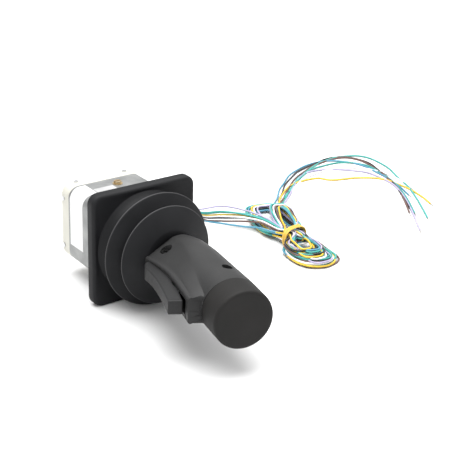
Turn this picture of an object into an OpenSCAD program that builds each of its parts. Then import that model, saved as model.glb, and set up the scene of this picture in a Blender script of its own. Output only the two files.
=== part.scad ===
// Two-axis industrial hand joystick with a trigger in its handle, a square rubber boot and flying leads.
// The rigid pieces are drawn standing up, with z = 0 on the flange's front face and the handle along +z.
// lay() then puts them on their side, as the joystick lies on a bench: its origin is the middle of the
// flange's panel side, +Y points from there to the rear cover, and +Z up.

/* [Flange and boot] */
// Side of the square rubber base
flange_w = 80; // [79:0.5:86]
// Thickness of the rubber base, along the handle
flange_t = 8; // [7.5:0.25:10]
// Radius of the base's corners
flange_corner_r = 7; // [5:0.5:9]
// Rounding of the base's front edge
flange_edge_r = 2.3; // [1:0.1:3]
// Width of the rubber rim round the mounting plate
rim_w = 3; // [2.5:0.25:3.5]
// Thickness of the mounting plate inside the base
plate_t = 4.5; // [3.5:0.25:5]
// Distance of the panel screws from the mounting plate's edges
panel_hole_in = 4; // [3.5:0.25:5]
// Bore of a panel screw's tapped hole
panel_hole_d = 3.3; // [3:0.1:3.6]
// How far the rear lip of the bellows stays inside the flange's sides
rear_lip_in = 0; // [0:0.5:3]
// Diameter of the front lip of the bellows
front_lip_d = 69; // [66:0.5:72]
// Height of the rear lip over the flange
rear_lip_z = 14.7; // [14:0.1:16]
// Height of the front lip over the flange
front_lip_z = 25.6; // [25:0.1:26.5]
// Wall of the bellows, measured across the handle
boot_wall = 1.8; // [1.4:0.1:2.2]

/* [Housing] */
// Width of the die-cast housing
housing_w = 59; // [57.5:0.5:60]
// Height of the die-cast housing
housing_h = 55; // [54:0.5:60]
// Length of the housing behind the flange
housing_l = 43.5; // [43:0.5:50]
// Radius of the housing's long corners
housing_r = 8; // [6.5:0.5:9]
// Wall of the housing
housing_wall = 3; // [2.5:0.25:3]
// Thickness of the housing's front wall
front_wall = 4; // [3.5:0.25:4.5]
// Diameter of the throat through the front wall and the plate
throat_d = 46; // [45.5:0.25:47]
// Depth of the plastic rear cover
cover_l = 10.6; // [10.4:0.2:14]
// Wall of the rear cover
cover_wall = 2; // [1.6:0.2:2.2]
// Diameter of the lead bundle where it leaves the cover
lead_d = 4.6; // [4:0.2:4.8]

/* [Gimbal] */
// Depth of the pivot centre behind the flange's front face
pivot_depth = 22; // [21.5:0.25:23]
// Diameter of both pivot pins
pin_d = 4; // [3.6:0.1:4.2]
// Outside diameter of the pivot bushes
bush_d = 6; // [5.6:0.1:6.4]
// Size of the gimbal ring across the outer pivot
ring_w = 30; // [29.5:0.25:30.5]
// Room for the outer spring between the gimbal ring and the housing's wall
spring_room = 6.3; // [6.1:0.1:6.8]
// Thickness of the gimbal ring along the handle
ring_t = 10; // [9:0.25:11]
// Wall of the gimbal ring
ring_wall = 5.4; // [5:0.1:5.6]
// Diameter of the steel handle shaft
shaft_d = 10; // [9:0.25:10.5]
// Wire of the two centring springs
spring_wire = 1.1; // [0.9:0.05:1.2]
// Radial running clearance of a pin in its bush
run_gap = 0.03; // [0.02:0.01:0.06]

/* [Handle] */
// Height of the handle's base over the flange
base_z = 33; // [33:0.25:34]
// Height of the seam between the grip and the end cap
seam_z = 110; // [109:0.5:116]
// Diameter of the grip
grip_d = 38.4; // [37.5:0.25:40]
// Diameter of the round part of the neck
neck_d = 32.4; // [31:0.25:34]
// Lean of the grip towards the trigger, in degrees
grip_lean = 10.1; // [9:0.1:11]
// Lean of the end cap, in degrees
cap_lean = 12.5; // [11:0.1:13]
// Length of the end cap
cap_l = 20; // [18:0.5:24]
// Step of the end cap over the grip, all round
cap_step = 0.3; // [0.1:0.05:0.6]
// Wall of the handle's two halves
grip_wall = 2.4; // [2:0.1:2.6]
// Distance of the fin's edge from the axis, at its base
fin_x = 20.5; // [20.5:0.1:22]
// How much the fin flares per mm of height, above the bend
fin_flare = 0.3; // [0.27:0.01:0.32]
// Thickness of the fin at the guard
fin_t = 16.6; // [16:0.1:18]
// Bore of the screw wells in the upper half
well_d = 6.8; // [6.4:0.1:7]

/* [Trigger] */
// Width of the trigger
trigger_w = 9.8; // [9:0.1:10]
// Gap between the trigger and each cheek of its slot
trigger_gap = 0.3; // [0.25:0.05:0.5]
// Diameter of the trigger's pin
trigger_pin_d = 3; // [2.6:0.1:3.2]

/* [Hidden] */
$fn = 48;

// Clearances shared by the fits
press_gap = 0.02;   // radial gap of a pressed pin or a threaded shank in its hole
seat_gap = 0.1;     // gap round a piece that drops into a pocket
thrust_gap = 0.3;   // axial play beside a bush
floor_z = -flange_w / 2;

// Flange
plate_w = flange_w - 2 * rim_w;
panel_pitch = plate_w - 2 * panel_hole_in;
rear_lip_r = flange_w / 2 - rear_lip_in;
boot_foot_r = rear_lip_r - 3.5;
base_hole_r = boot_foot_r - 3.5;
boot_split_z = 20.4;
boot_split_gap = 0.2;

// Housing and cover
housing_front = -flange_t;
housing_back = housing_front - housing_l;
cover_back = housing_back - cover_l;
cavity_w = housing_w - 2 * housing_wall;
cavity_h = housing_h - 2 * housing_wall;
cavity_r = housing_r - housing_wall;
screw_x = cavity_w / 2 - 4.5;
screw_y = cavity_h / 2 - 4.5;
screw_boss_r = 4;
screw_l = 12;
m4_r = 2;
m4_head_r = 3.5;
m4_head_t = 2.2;
cover_screw_in = 10;          // distance of a cover screw from the corner of its side
cover_screw_z = housing_back - 7;
cover_screw_head_r = 1.6;
cover_screw_r = 0.9;
earth_x = 3.5;
earth_z = housing_back + 10.5;
earth_r = 1.5;
earth_head_r = 2.6;
earth_head_t = 2;
earth_washer_t = 0.5;
label_t = 0.15;
side_label_l = 17;            // along the handle
side_label_h = 42;            // down the side
side_label_over = 12;         // how far it laps onto the top
side_label_edge = 2.3;        // from the back of the housing
top_label_w = 15.5;
top_label_l = 7;

// Grommet
exit_z = housing_back - (cover_l - cover_wall) / 2;
grommet_hole_r = 3.3;
grommet_flange_r = (cover_l - cover_wall) / 2 - seat_gap;
grommet_flange_t = 1.4;
grommet_skin = 0.6;           // what closes the grommet's mouth against the leads
exit_x = housing_w / 2 + grommet_flange_t;

// Sensor board, on four posts of the cover
board_w = 44;
board_h = 40;
board_t = 1.6;
board_z = housing_back + 1.4; // its rear face
post_x = board_w / 2 - 3.5;
post_y = board_h / 2 - 3.5;
post_r = 2.8;
chip_t = 1.1;
header_w = 18;
header_h = 6;
header_l = 6;
m2_r = 1;
m2_head_r = 1.9;
m2_head_t = 1.3;

// Gimbal, about the point [0, 0, -pivot_depth]
pin_r = pin_d / 2;
bush_r = bush_d / 2;
bush_flange_r = 4.2;
bush_flange_t = 0.9;
pivot_boss_r = 4.5;
pivot_boss_y = cavity_h / 2 - spring_room;
ring_h = 2 * (pivot_boss_y - thrust_gap - bush_flange_t);
pivot_pin_in = ring_h / 2 - ring_wall + 0.2;
block_w = ring_w - 2 * ring_wall - 2 * (bush_flange_t + thrust_gap);
block_h = 16;
block_t = 14;
ring_boss_r = 4.4;
ring_boss_l = 4.5;
ring_boss_x = ring_w / 2 + ring_boss_l;
lever_gap = 0.3;
lever_t = 1.6;
lever_hub_r = 4;
cross_pin_x0 = -ring_w / 2 + 0.1;
cross_pin_x1 = ring_boss_x + lever_gap + lever_t + 0.4;

// Torsion springs: a coil of mean radius coil_r, with two legs that close in by leg_slope on two pegs
coil_turns = 3.5;
coil_r = pivot_boss_r + spring_wire / 2 + 0.3;
leg_slope = 0.28;
leg_l = 14.5;
near_peg_s = 9.5;
far_peg_s = 13;
peg_touch = spring_wire / 2 + 0.05;
function leg_x(s) = coil_r - leg_slope * s;
function peg_r(s) = leg_x(s) / sqrt(1 + leg_slope * leg_slope) - peg_touch;
near_peg_r = peg_r(near_peg_s);
far_peg_r = peg_r(far_peg_s);

// Shaft, magnet and sleeve
shaft_r = shaft_d / 2;
shaft_low = -pivot_depth - 16;
shaft_up = 29;                // how far the shaft reaches into the handle
shaft_high = base_z + shaft_up;
holder_r = 6.2;
holder_wrap = 3;
holder_floor = 5.5;
magnet_r = 4;
magnet_t = 2.5;
sleeve_w = 13.6;
sleeve_h = 16;
sleeve_top = shaft_high + 1;
sleeve_pin_r = 1.5;
sleeve_pin_up = 17;
sleeve_pin_z = base_z + sleeve_pin_up;

// Handle outline
grip_r = grip_d / 2;
neck_r = neck_d / 2;
neck_x = 4.3;                 // where the neck's round part is centred
lean_z = 68.2;                // height at which the grip's axis crosses the joystick's axis
round_h = 33;                 // height over which the neck swells to the grip
fin_top = seam_z - 8.5;       // height of the guard's end, at the fin's edge
fin_bend = 58.8;              // height at which the fin starts to flare
fin_bend_soft = 10;
fin_base_t = 12.4;            // thickness of the fin at its base
fin_swell_h = 54;             // height over which it reaches fin_t
fin_corner_r = 1.5;
leave_base = 106.5;           // angle at which the fin leaves the round part, at the base
leave_rate = 0.95;            // how it grows per mm above leave_z
leave_z = 57;
leave_soft = 12;
tilt_top = 0.2;               // slope of the guard's end, which leans with the grip
n_arc = 10;
n_line = 3;
n_round = 3;
n_half = n_arc + 1 + n_line + n_round + 1;
seam_x = grip_axis_x(seam_z);
spigot_r = 17;
spigot_wall = 2.5;
spigot_l = 14;
cap_r = grip_r + cap_step;
cap_edge_r = 3;
base_floor_t = 3;
rib_t = 2;
low_rib_up = 13;              // heights of the three ribs over the base
mid_rib_up = 26;
high_rib_up = 54;
bulkhead_t = 7.5;
n_rings = 10;

// Trigger, its slot and its pin
slot_h = trigger_w + 2 * trigger_gap;
slot_z0 = base_z + 3;
slot_x_low = -13.8;
slot_x_top = -20;
slot_bend_z = 70;
guard_t = 4.9;
guard_round = 0.4;            // height over which the guard's end meets the round part
slot_z1 = fin_top - guard_t;
web_t = 1.8;
trigger_x = -18.4;
trigger_up = 9;
trigger_z = base_z + trigger_up;
trigger_pin_r = trigger_pin_d / 2;
trigger_pin_l = slot_h + 2.8;
trigger_hub_r = 4;
trigger_foot_up = 3.7;        // height of the trigger's foot over the handle's base
trigger_front_x = -25.5;      // finger face at the foot, and how it sweeps forward above its bend
trigger_sweep = 0.36;
trigger_bend_z = 49;
trigger_bend_soft = 14;
trigger_tip_drop = 5.6;       // how far the tip's front corner is below the slot's end
trigger_tip_x = -33;
trigger_spring_z = 76;
trigger_spring_r = 2.5;
trigger_spring_wire = 0.7;
trigger_spring_turns = 5;
trigger_pocket_r = trigger_spring_r + trigger_spring_wire / 2 + 0.3;
trigger_back_x = -25.5;       // the trigger's inner face at the spring
trigger_pocket_x = -28.5;     // floor of the spring's pocket
trigger_magnet_r = 2;
trigger_magnet_t = 2;
trigger_magnet_z = 60;
trigger_flat_x = -20.5;       // the trigger's inner face at its magnet
trigger_board_l = 12;
trigger_board_t = 1.2;

// Handle screws: [x, z, length of the boss] for each
well_floor = 8.6;
low_screw_x = -10.3;
low_screw_up = 7.8;
low_boss_l = 11.2;
high_screw_x = 0.2;
high_screw_up = 60.4;
high_boss_l = 15.8;
screw_places = [[low_screw_x, base_z + low_screw_up, low_boss_l],
                [high_screw_x, base_z + high_screw_up, high_boss_l]];
boss_low_r = 3.3;
boss_top_r = well_d / 2 + 1.2;
tap_r = 1.5;
tap_l = 18;
tap_head_r = 2.9;
tap_head_t = 2.2;

// Leads, in the laid-down frame. Every place is counted from the exit, and the heights from the floor.
exit_y = -exit_z - flange_t;
lead_r = lead_d / 2;
lead_end_up = 5;              // height of the lead's end over the floor
tail_r = 1.6;
tail_up = 2;
hank_r = 21;
hank_h = 14;
hank_a = [121, -2];
hank_b = [102, -74];
// x, y and the share of the fall to lead_end_up
lead_route = [[0, 0, 0], [4, 0, 0], [9, 0, 0], [17, 1, 0.08], [29, 3, 0.25], [43, 7, 0.46], [57, 11, 0.66],
              [71, 14, 0.83], [84, 14.5, 0.955], [95, 12.5, 1], [105.2, 9, 1]];
// x and y of the tails on the floor
tail_route_outer = [[135, 12], [151, 30], [169, 47], [195, 65], [225, 78], [253, 79], [270, 66], [272, 44],
                    [264, 16], [251, -14], [237, -42], [224, -64]];
tail_route_inner = [[139, 8], [155, 24], [177, 42], [203, 54], [227, 53], [245, 42], [255, 22], [253, -4],
                    [239, -34], [223, -56], [208, -76]];
lead_path = [for (p = lead_route) [exit_x + p[0], exit_y + p[1], p[2] * (floor_z + lead_end_up)]];

// ---- helpers ----

// Turns a standing piece onto its side, with the flange's panel side on the plane Y = 0
module lay() {
    translate([0, -flange_t, 0]) rotate([90, 0, 0]) children();
}

// Flat outline with round corners, centred
module rounded_rect(w, h, r) {
    square([w - 2 * r, h], center = true);
    square([w, h - 2 * r], center = true);
    for (sx = [-1, 1], sy = [-1, 1])
        translate([sx * (w / 2 - r), sy * (h / 2 - r)]) circle(r);
}

// Slab from z = 0 to z = t with round corners, whose edge at z = t is rounded by edge
module soft_slab(w, h, t, r, edge) {
    hull() for (k = [0:3]) {
        inset = edge * (1 - cos(30 * k));
        linear_extrude(t - edge * (1 - sin(30 * k)))
            rounded_rect(w - 2 * inset, h - 2 * inset, r - inset, $fn = 32);
    }
}

// Plate with an outline in x and z, h thick in y, centred on y = 0
module xz_plate(outline, h) {
    rotate([90, 0, 0]) linear_extrude(h, center = true) polygon(outline);
}

// Cylinder along y from y0 to y1
module y_rod(r, y0, y1) {
    translate([0, y1, 0]) rotate([90, 0, 0]) cylinder(r = r, h = y1 - y0);
}

// Cylinder along x from x0 to x1
module x_rod(r, x0, x1) {
    translate([x0, 0, 0]) rotate([0, 90, 0]) cylinder(r = r, h = x1 - x0);
}

// Puts children at the pivot centre
module at_pivot() {
    translate([0, 0, -pivot_depth]) children();
}

// Solid through rings of points, all with the same count, each anticlockwise seen from above
module loft(rings) {
    n = len(rings[0]);
    m = len(rings);
    sides = [for (k = [0:m - 2], i = [0:n - 1]) let (j = (i + 1) % n, a = k * n + i, b = k * n + j)
        each [[a, a + n, b + n], [a, b + n, b]]];
    polyhedron([for (ring = rings) each ring],
        concat([[for (i = [0:n - 1]) i]], sides, [[for (i = [n:-1:1]) (m - 1) * n + i % n]]));
}

function unit(v) = v / norm(v);

// Direction of a path at its point i
function heading(path, i) = unit(path[min(i + 1, len(path) - 1)] - path[max(i - 1, 0)]);

// Round tube along a path; up is any direction that the path never follows
module tube(path, r, sides, up) {
    loft([for (i = [0:len(path) - 1]) let (t = heading(path, i), u = unit(cross(up, t)), v = cross(t, u))
        [for (k = [0:sides - 1]) path[i] + r * (cos(360 * k / sides) * u + sin(360 * k / sides) * v)]]);
}

// Point of a Catmull-Rom curve between b and c, at share s
function curve_at(a, b, c, d, s) =
    0.5 * (2 * b + (c - a) * s + (2 * a - 5 * b + 4 * c - d) * s * s + (3 * b - a - 3 * c + d) * s * s * s);

// Smooth path through route, with n steps from each point to the next
function smooth(route, n) = let (last = len(route) - 1) concat(
    [for (i = [0:last - 1], k = [0:n - 1])
        curve_at(route[max(i - 1, 0)], route[i], route[i + 1], route[min(i + 2, last)], k / n)],
    [route[last]]);

// ---- flange and boot ----

module boot_base() {
    lay() color("#2b2c2f") difference() {
        translate([0, 0, -flange_t])
            soft_slab(flange_w, flange_w, flange_t, flange_corner_r, flange_edge_r);
        translate([0, 0, -flange_t - 1]) linear_extrude(plate_t + 1)
            rounded_rect(plate_w, plate_w, flange_corner_r - rim_w);
        translate([0, 0, -flange_t]) cylinder(r = base_hole_r, h = flange_t + 1);
    }
}

module mounting_plate() {
    lay() color("#8d9094") difference() {
        translate([0, 0, -flange_t]) linear_extrude(plate_t)
            rounded_rect(plate_w, plate_w, flange_corner_r - rim_w);
        translate([0, 0, -flange_t - 1]) cylinder(d = throat_d, h = plate_t + 2);
        for (sx = [-1, 1], sy = [-1, 1]) {
            translate([sx * panel_pitch / 2, sy * panel_pitch / 2, -flange_t - 1])
                cylinder(d = panel_hole_d, h = plate_t + 2);
            translate([sx * screw_x, sy * screw_y, -flange_t - 1])
                cylinder(r = m4_r + press_gap, h = plate_t + 2);
            translate([sx * screw_x, sy * screw_y, -flange_t + plate_t - m4_head_t])
                cylinder(r = m4_head_r + seat_gap, h = m4_head_t + 1);
        }
    }
}

module bellows_rear() {
    lip = rear_lip_r;
    valley_low = boot_foot_r - 5.5;
    valley_high = front_lip_d / 2 - 7;
    low_z = rear_lip_z * 0.44;
    lay() color("#2b2c2f") rotate_extrude() polygon([
        [boot_foot_r, 0], [boot_foot_r - 2, low_z / 2], [valley_low, low_z],
        [lip - 4, rear_lip_z - 4.2], [lip - 0.8, rear_lip_z - 1.2], [lip, rear_lip_z],
        [lip - 0.7, rear_lip_z + 0.9], [lip - 7, rear_lip_z + 2.8], [valley_high, boot_split_z - boot_split_gap],
        [valley_high - boot_wall, boot_split_z - boot_split_gap], [lip - 3.5, rear_lip_z - 0.3],
        [lip - 3.5, rear_lip_z - 1], [valley_low - boot_wall, low_z], [boot_foot_r - 2 - boot_wall, low_z / 2],
        [boot_foot_r - boot_wall, 0]]);
}

module bellows_front() {
    lip = front_lip_d / 2;
    valley = lip - 7;
    collar_r = shaft_r + seat_gap;
    lay() color("#2b2c2f") rotate_extrude() polygon([
        [valley, boot_split_z], [lip - 4, front_lip_z - 3], [lip - 0.7, front_lip_z - 0.9], [lip, front_lip_z],
        [lip - 0.6, front_lip_z + 0.8], [lip - 6.5, front_lip_z + 3.2], [lip - 12.5, base_z - 1.4],
        [lip - 15.5, base_z], [collar_r, base_z], [collar_r, front_lip_z - 1], [collar_r + 3, front_lip_z - 1],
        [collar_r + 3, base_z - boot_wall], [lip - 16, base_z - boot_wall],
        [lip - 13, base_z - 1.4 - boot_wall], [lip - 3, front_lip_z + 0.2], [lip - 3, front_lip_z - 0.6],
        [valley - boot_wall, boot_split_z]]);
}

// ---- housing ----

module housing() {
    lay() color("#c9cacc") difference() {
        union() {
            difference() {
                translate([0, 0, housing_back]) linear_extrude(housing_l)
                    rounded_rect(housing_w, housing_h, housing_r);
                translate([0, 0, housing_back - 1]) linear_extrude(housing_l - front_wall + 1)
                    rounded_rect(cavity_w, cavity_h, cavity_r);
            }
            for (sx = [-1, 1], sy = [-1, 1])
                translate([sx * screw_x, sy * screw_y, housing_front - front_wall - screw_l])
                    cylinder(r = screw_boss_r, h = screw_l + 1);
            at_pivot() for (turn = [0, 180]) rotate([0, 0, turn])
                y_rod(pivot_boss_r, pivot_boss_y, cavity_h / 2 + 1);
            at_pivot() translate([0, 0, -far_peg_s])
                y_rod(far_peg_r, pivot_boss_y + 0.4, cavity_h / 2 + 1);
        }
        translate([0, 0, housing_front - front_wall - 1]) cylinder(d = throat_d, h = front_wall + 2);
        for (sx = [-1, 1], sy = [-1, 1])
            translate([sx * screw_x, sy * screw_y, housing_front - screw_l])
                cylinder(r = m4_r + press_gap, h = screw_l + 1);
        at_pivot() y_rod(pin_r + press_gap, -housing_h, housing_h);
        translate([earth_x, 0, earth_z]) y_rod(earth_r + press_gap, cavity_h / 2 - 1, housing_h);
    }
}

module housing_screws() {
    lay() color("#b9bbbe") for (sx = [-1, 1], sy = [-1, 1])
        translate([sx * screw_x, sy * screw_y, -flange_t + plate_t - m4_head_t]) {
            difference() {
                cylinder(r = m4_head_r, h = m4_head_t);
                translate([0, 0, m4_head_t - 1.2]) cylinder(r = 1.5, h = 2, $fn = 6);
            }
            translate([0, 0, -screw_l + 1]) cylinder(r = m4_r, h = screw_l);
        }
}

module earth_screw() {
    lay() color("#c9a14a") translate([earth_x, 0, earth_z]) difference() {
        union() {
            y_rod(earth_r, cavity_h / 2 + 0.3, housing_h / 2 + earth_washer_t);
            y_rod(earth_head_r + 0.9, housing_h / 2, housing_h / 2 + earth_washer_t);
            y_rod(earth_head_r, housing_h / 2 + earth_washer_t / 2, housing_h / 2 + earth_head_t);
        }
        translate([0, housing_h / 2 + earth_head_t, 0]) cube([2 * earth_head_r + 1, 1.4, 0.8], center = true);
    }
}

// Thin skin over the housing's outline
module housing_skin(l) {
    linear_extrude(l) difference() {
        rounded_rect(housing_w + 2 * label_t, housing_h + 2 * label_t, housing_r + label_t);
        rounded_rect(housing_w, housing_h, housing_r);
    }
}

module side_label() {
    lay() color("#f4f4f2") intersection() {
        translate([0, 0, housing_back + side_label_edge]) housing_skin(side_label_l);
        translate([-housing_w / 2 - 1, housing_h / 2 + 1 - side_label_h, housing_back])
            cube([side_label_over + 1, side_label_h, housing_l]);
    }
}

module top_label() {
    lay() color("#e9e9ee")
        translate([-housing_w / 2 + side_label_over + 0.8, housing_h / 2, housing_back + 11.5])
            cube([top_label_w, label_t, top_label_l]);
}

// Places of the eight cover screws: children drawn along -y from the outer face of a side
module at_cover_screws() {
    for (s = [-1, 1], turn = [0, 180]) {
        translate([0, 0, cover_screw_z]) rotate([0, 0, turn])
            translate([s * (housing_w / 2 - cover_screw_in), housing_h / 2, 0]) children();
        translate([0, 0, cover_screw_z]) rotate([0, 0, turn + 90])
            translate([s * (housing_h / 2 - cover_screw_in), housing_w / 2, 0]) children();
    }
}

module rear_cover() {
    lay() color("#ece7d8") difference() {
        union() {
            difference() {
                translate([0, 0, housing_back]) mirror([0, 0, 1])
                    soft_slab(housing_w, housing_h, cover_l, housing_r, 1.5);
                translate([0, 0, cover_back + cover_wall]) linear_extrude(cover_l)
                    rounded_rect(housing_w - 2 * cover_wall, housing_h - 2 * cover_wall, housing_r - cover_wall);
            }
            for (sx = [-1, 1], sy = [-1, 1])
                translate([sx * post_x, sy * post_y, cover_back + 1])
                    cylinder(r = post_r, h = board_z - cover_back - 1);
        }
        for (sx = [-1, 1], sy = [-1, 1])
            translate([sx * post_x, sy * post_y, board_z - 5]) cylinder(r = m2_r + press_gap, h = 6);
        translate([0, 0, exit_z]) x_rod(grommet_hole_r, housing_w / 2 - cover_wall - 1, housing_w / 2 + 1);
        at_cover_screws() y_rod(cover_screw_r + press_gap, -cover_wall - 1, 1);
    }
}

module cover_screws() {
    lay() color("#35363a") at_cover_screws() {
        y_rod(cover_screw_head_r, 0, 0.8);
        y_rod(cover_screw_r, -cover_wall - 0.6, 0.4);
    }
}

module wire_grommet() {
    wall_in = housing_w / 2 - cover_wall;
    lay() color("#26272a") translate([0, 0, exit_z]) difference() {
        union() {
            x_rod(grommet_hole_r - press_gap, wall_in - grommet_flange_t, exit_x);
            x_rod(grommet_flange_r, housing_w / 2, exit_x);
            x_rod(grommet_flange_r, wall_in - grommet_flange_t, wall_in);
        }
        x_rod(lead_r + seat_gap, wall_in - 2 * grommet_flange_t, exit_x - grommet_skin);
    }
}

// ---- sensor board ----

module sensor_board() {
    lay() color("#1f6b3a") translate([0, 0, board_z]) difference() {
        linear_extrude(board_t) rounded_rect(board_w, board_h, 3);
        for (sx = [-1, 1], sy = [-1, 1])
            translate([sx * post_x, sy * post_y, -1]) cylinder(r = m2_r + seat_gap, h = board_t + 2);
    }
}

module hall_sensors() {
    lay() color("#1b1b1d") for (s = [-1, 1])
        translate([s * 3.4 - 2.2, -2.5, board_z + board_t]) cube([4.4, 5, chip_t]);
}

module wire_header() {
    lay() color("#efeadb") difference() {
        translate([-header_w / 2, -header_h / 2, board_z - header_l]) cube([header_w, header_h, header_l]);
        for (i = [0:7])
            translate([(i - 3.5) * 2.1, 0, board_z - header_l - 1]) cylinder(r = 0.75, h = 4, $fn = 16);
    }
}

module board_screws() {
    lay() color("#b9bbbe") for (sx = [-1, 1], sy = [-1, 1])
        translate([sx * post_x, sy * post_y, board_z + board_t]) {
            cylinder(r = m2_head_r, h = m2_head_t);
            translate([0, 0, -board_t - 4]) cylinder(r = m2_r, h = board_t + 4.5);
        }
}

// ---- gimbal ----

module pivot_pins() {
    lay() color("#c6c8cb") at_pivot() for (turn = [0, 180]) rotate([0, 0, turn])
        y_rod(pin_r, pivot_pin_in, housing_h / 2 - 0.5);
}

module gimbal_ring() {
    ear_x = ring_w / 2 - ring_wall;
    ear_y = ring_h / 2 - ring_wall;
    lay() color("#a7a9ad") at_pivot() difference() {
        union() {
            translate([0, 0, -ring_t / 2]) linear_extrude(ring_t) difference() {
                rounded_rect(ring_w, ring_h, 4);
                rounded_rect(ring_w - 2 * ring_wall, ring_h - 2 * ring_wall, 1.5);
            }
            x_rod(ring_boss_r, ring_w / 2 - 1, ring_boss_x);
            translate([-near_peg_r, ear_y, -near_peg_s - near_peg_r])
                cube([2 * near_peg_r, ring_wall, near_peg_s + near_peg_r - ring_t / 2 + 1]);
            translate([0, 0, -near_peg_s]) y_rod(near_peg_r, ear_y + 1, cavity_h / 2 - 0.6);
            translate([ear_x, -2.2, -far_peg_s - 2]) cube([ring_wall, 4.4, far_peg_s + 2 - ring_t / 2 + 1]);
            translate([0, 0, -far_peg_s]) x_rod(far_peg_r, ear_x + 1, ring_boss_x);
        }
        y_rod(bush_r, -ring_h, ring_h);
        x_rod(bush_r, -ring_w, ring_w / 2);
        x_rod(pin_r + 0.4, 0, ring_w);
    }
}

// Flanged bush along +z from its flange's seat, with the flange below z = 0
module bush(l) {
    difference() {
        union() {
            cylinder(r = bush_r, h = l);
            translate([0, 0, -bush_flange_t]) cylinder(r = bush_flange_r, h = bush_flange_t);
        }
        translate([0, 0, -bush_flange_t - 1]) cylinder(r = pin_r + run_gap, h = l + bush_flange_t + 2);
    }
}

module ring_bushes() {
    lay() color("#b08d57") at_pivot() {
        for (turn = [0, 180]) {
            rotate([0, 0, turn]) translate([0, ring_h / 2, 0]) rotate([90, 0, 0]) bush(ring_wall);
            rotate([0, 0, turn]) translate([ring_w / 2 - ring_wall, 0, 0]) rotate([0, 90, 0]) bush(ring_wall);
        }
    }
}

// Torsion spring about z from z = 0, with its legs along -y
module torsion_spring() {
    rise = (spring_wire + 0.15) * coil_turns;
    steps = 12 * coil_turns;
    tube([for (i = [0:steps]) let (a = 30 * i)
        [coil_r * cos(a), coil_r * sin(a), spring_wire / 2 + rise * i / steps]], spring_wire / 2, 6, [0, 0, 1]);
    torsion_leg(1, spring_wire / 2);
    torsion_leg(-1, spring_wire / 2 + rise);
}

// Leg of a torsion spring, at height z, on the side of x that s gives
module torsion_leg(s, z) {
    a = atan(leg_slope);
    translate([s * coil_r, 0, z]) rotate([90, 0, -s * a]) cylinder(r = spring_wire / 2, h = leg_l, $fn = 16);
}

module outer_spring() {
    lay() color("#9da0a4") at_pivot() translate([0, pivot_boss_y + 0.4, 0]) rotate([-90, 0, 0])
        rotate([0, 0, 180]) torsion_spring();
}

module inner_spring() {
    lay() color("#9da0a4") at_pivot() translate([ring_w / 2 + 0.2, 0, 0]) rotate([0, 90, 0])
        rotate([0, 0, 90]) torsion_spring();
}

module pivot_block() {
    lay() color("#b4b6ba") at_pivot() difference() {
        cube([block_w, block_h, block_t], center = true);
        translate([0, 0, -block_t]) cylinder(r = shaft_r + press_gap, h = 2 * block_t);
        x_rod(pin_r + press_gap, -block_w, block_w);
    }
}

module cross_pin() {
    lay() color("#c6c8cb") at_pivot() x_rod(pin_r, cross_pin_x0, cross_pin_x1);
}

module centring_lever() {
    x0 = ring_boss_x + lever_gap;
    lay() color("#8f9296") at_pivot() difference() {
        union() {
            x_rod(lever_hub_r, x0, x0 + lever_t);
            translate([x0, -near_peg_r, -near_peg_s]) cube([lever_t, 2 * near_peg_r, near_peg_s]);
            translate([0, 0, -near_peg_s]) x_rod(near_peg_r, ring_w / 2 + 0.3, x0 + lever_t);
        }
        x_rod(pin_r + press_gap, x0 - 1, x0 + lever_t + 1);
    }
}

module handle_shaft() {
    lay() color("#c3c5c8") difference() {
        translate([0, 0, shaft_low]) cylinder(r = shaft_r, h = shaft_high - shaft_low);
        at_pivot() x_rod(pin_r + press_gap, -shaft_d, shaft_d);
        translate([0, 0, sleeve_pin_z]) y_rod(sleeve_pin_r + press_gap, -shaft_d, shaft_d);
    }
}

module magnet_holder() {
    lay() color("#3a3b3f") translate([0, 0, shaft_low]) difference() {
        translate([0, 0, -holder_floor]) cylinder(r = holder_r, h = holder_floor + holder_wrap);
        cylinder(r = shaft_r + press_gap, h = holder_wrap + 1);
        translate([0, 0, -holder_floor - 1]) cylinder(r = magnet_r + press_gap, h = magnet_t + 1);
    }
}

module stick_magnet() {
    lay() color("#7d8085") translate([0, 0, shaft_low - holder_floor]) cylinder(r = magnet_r, h = magnet_t);
}

// ---- handle ----

// 0 far below a bend and rising by one per mm above it, with a soft corner
function soft_ramp(d, soft) = (d + sqrt(d * d + soft * soft)) / 2;

// Share of a stretch, kept between 0 and 1
function share(d, l) = max(0, min(1, d / l));

function grip_axis_x(z) = min(neck_x, -tan(grip_lean) * (z - lean_z));
function round_r(z) = grip_r - (grip_r - neck_r) * pow(1 - share(z - base_z, round_h), 2);
function fin_edge_x(z) = -fin_x - fin_flare * soft_ramp(z - fin_bend, fin_bend_soft);
function fin_half_t(z) = fin_t / 2 - (fin_t - fin_base_t) / 2 * pow(1 - share(z - base_z, fin_swell_h), 2);
function leave_angle(z) = leave_base + leave_rate * soft_ramp(z - leave_z, leave_soft);
function ring_tilt(z) = tilt_top * pow(share(z - base_z, fin_top - base_z), 1.3);

// Half outline of the finned part whose fin edge is at height z, from the back of the grip to the fin's edge
function finned_half(z) = let (
        t = ring_tilt(z), e = fin_edge_x(z), c = grip_axis_x(z + t * fin_x), r = round_r(z),
        h = fin_half_t(z), a = leave_angle(z), leave = [c + r * cos(a), r * sin(a)],
        meet = [e + fin_corner_r, h])
    [for (p = concat(
            [for (i = [0:n_arc]) [c + r * cos(a * i / n_arc), r * sin(a * i / n_arc)]],
            [for (i = [1:n_line]) leave + (meet - leave) * i / n_line],
            [for (i = [1:n_round]) let (b = 90 + 90 * i / n_round)
                [e + fin_corner_r + fin_corner_r * cos(b), h - fin_corner_r + fin_corner_r * sin(b)]],
            [[e, 0]]))
        [p[0], p[1], z + t * (p[0] - e)]];

// Half outline of the round part, r in radius, whose middle is at height z, with slope t
function round_half(z, r, t) = let (c = grip_axis_x(z))
    [for (i = [0:n_half - 1]) let (b = 180 * i / (n_half - 1)) [c + r * cos(b), r * sin(b), z + t * r * cos(b)]];

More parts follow.
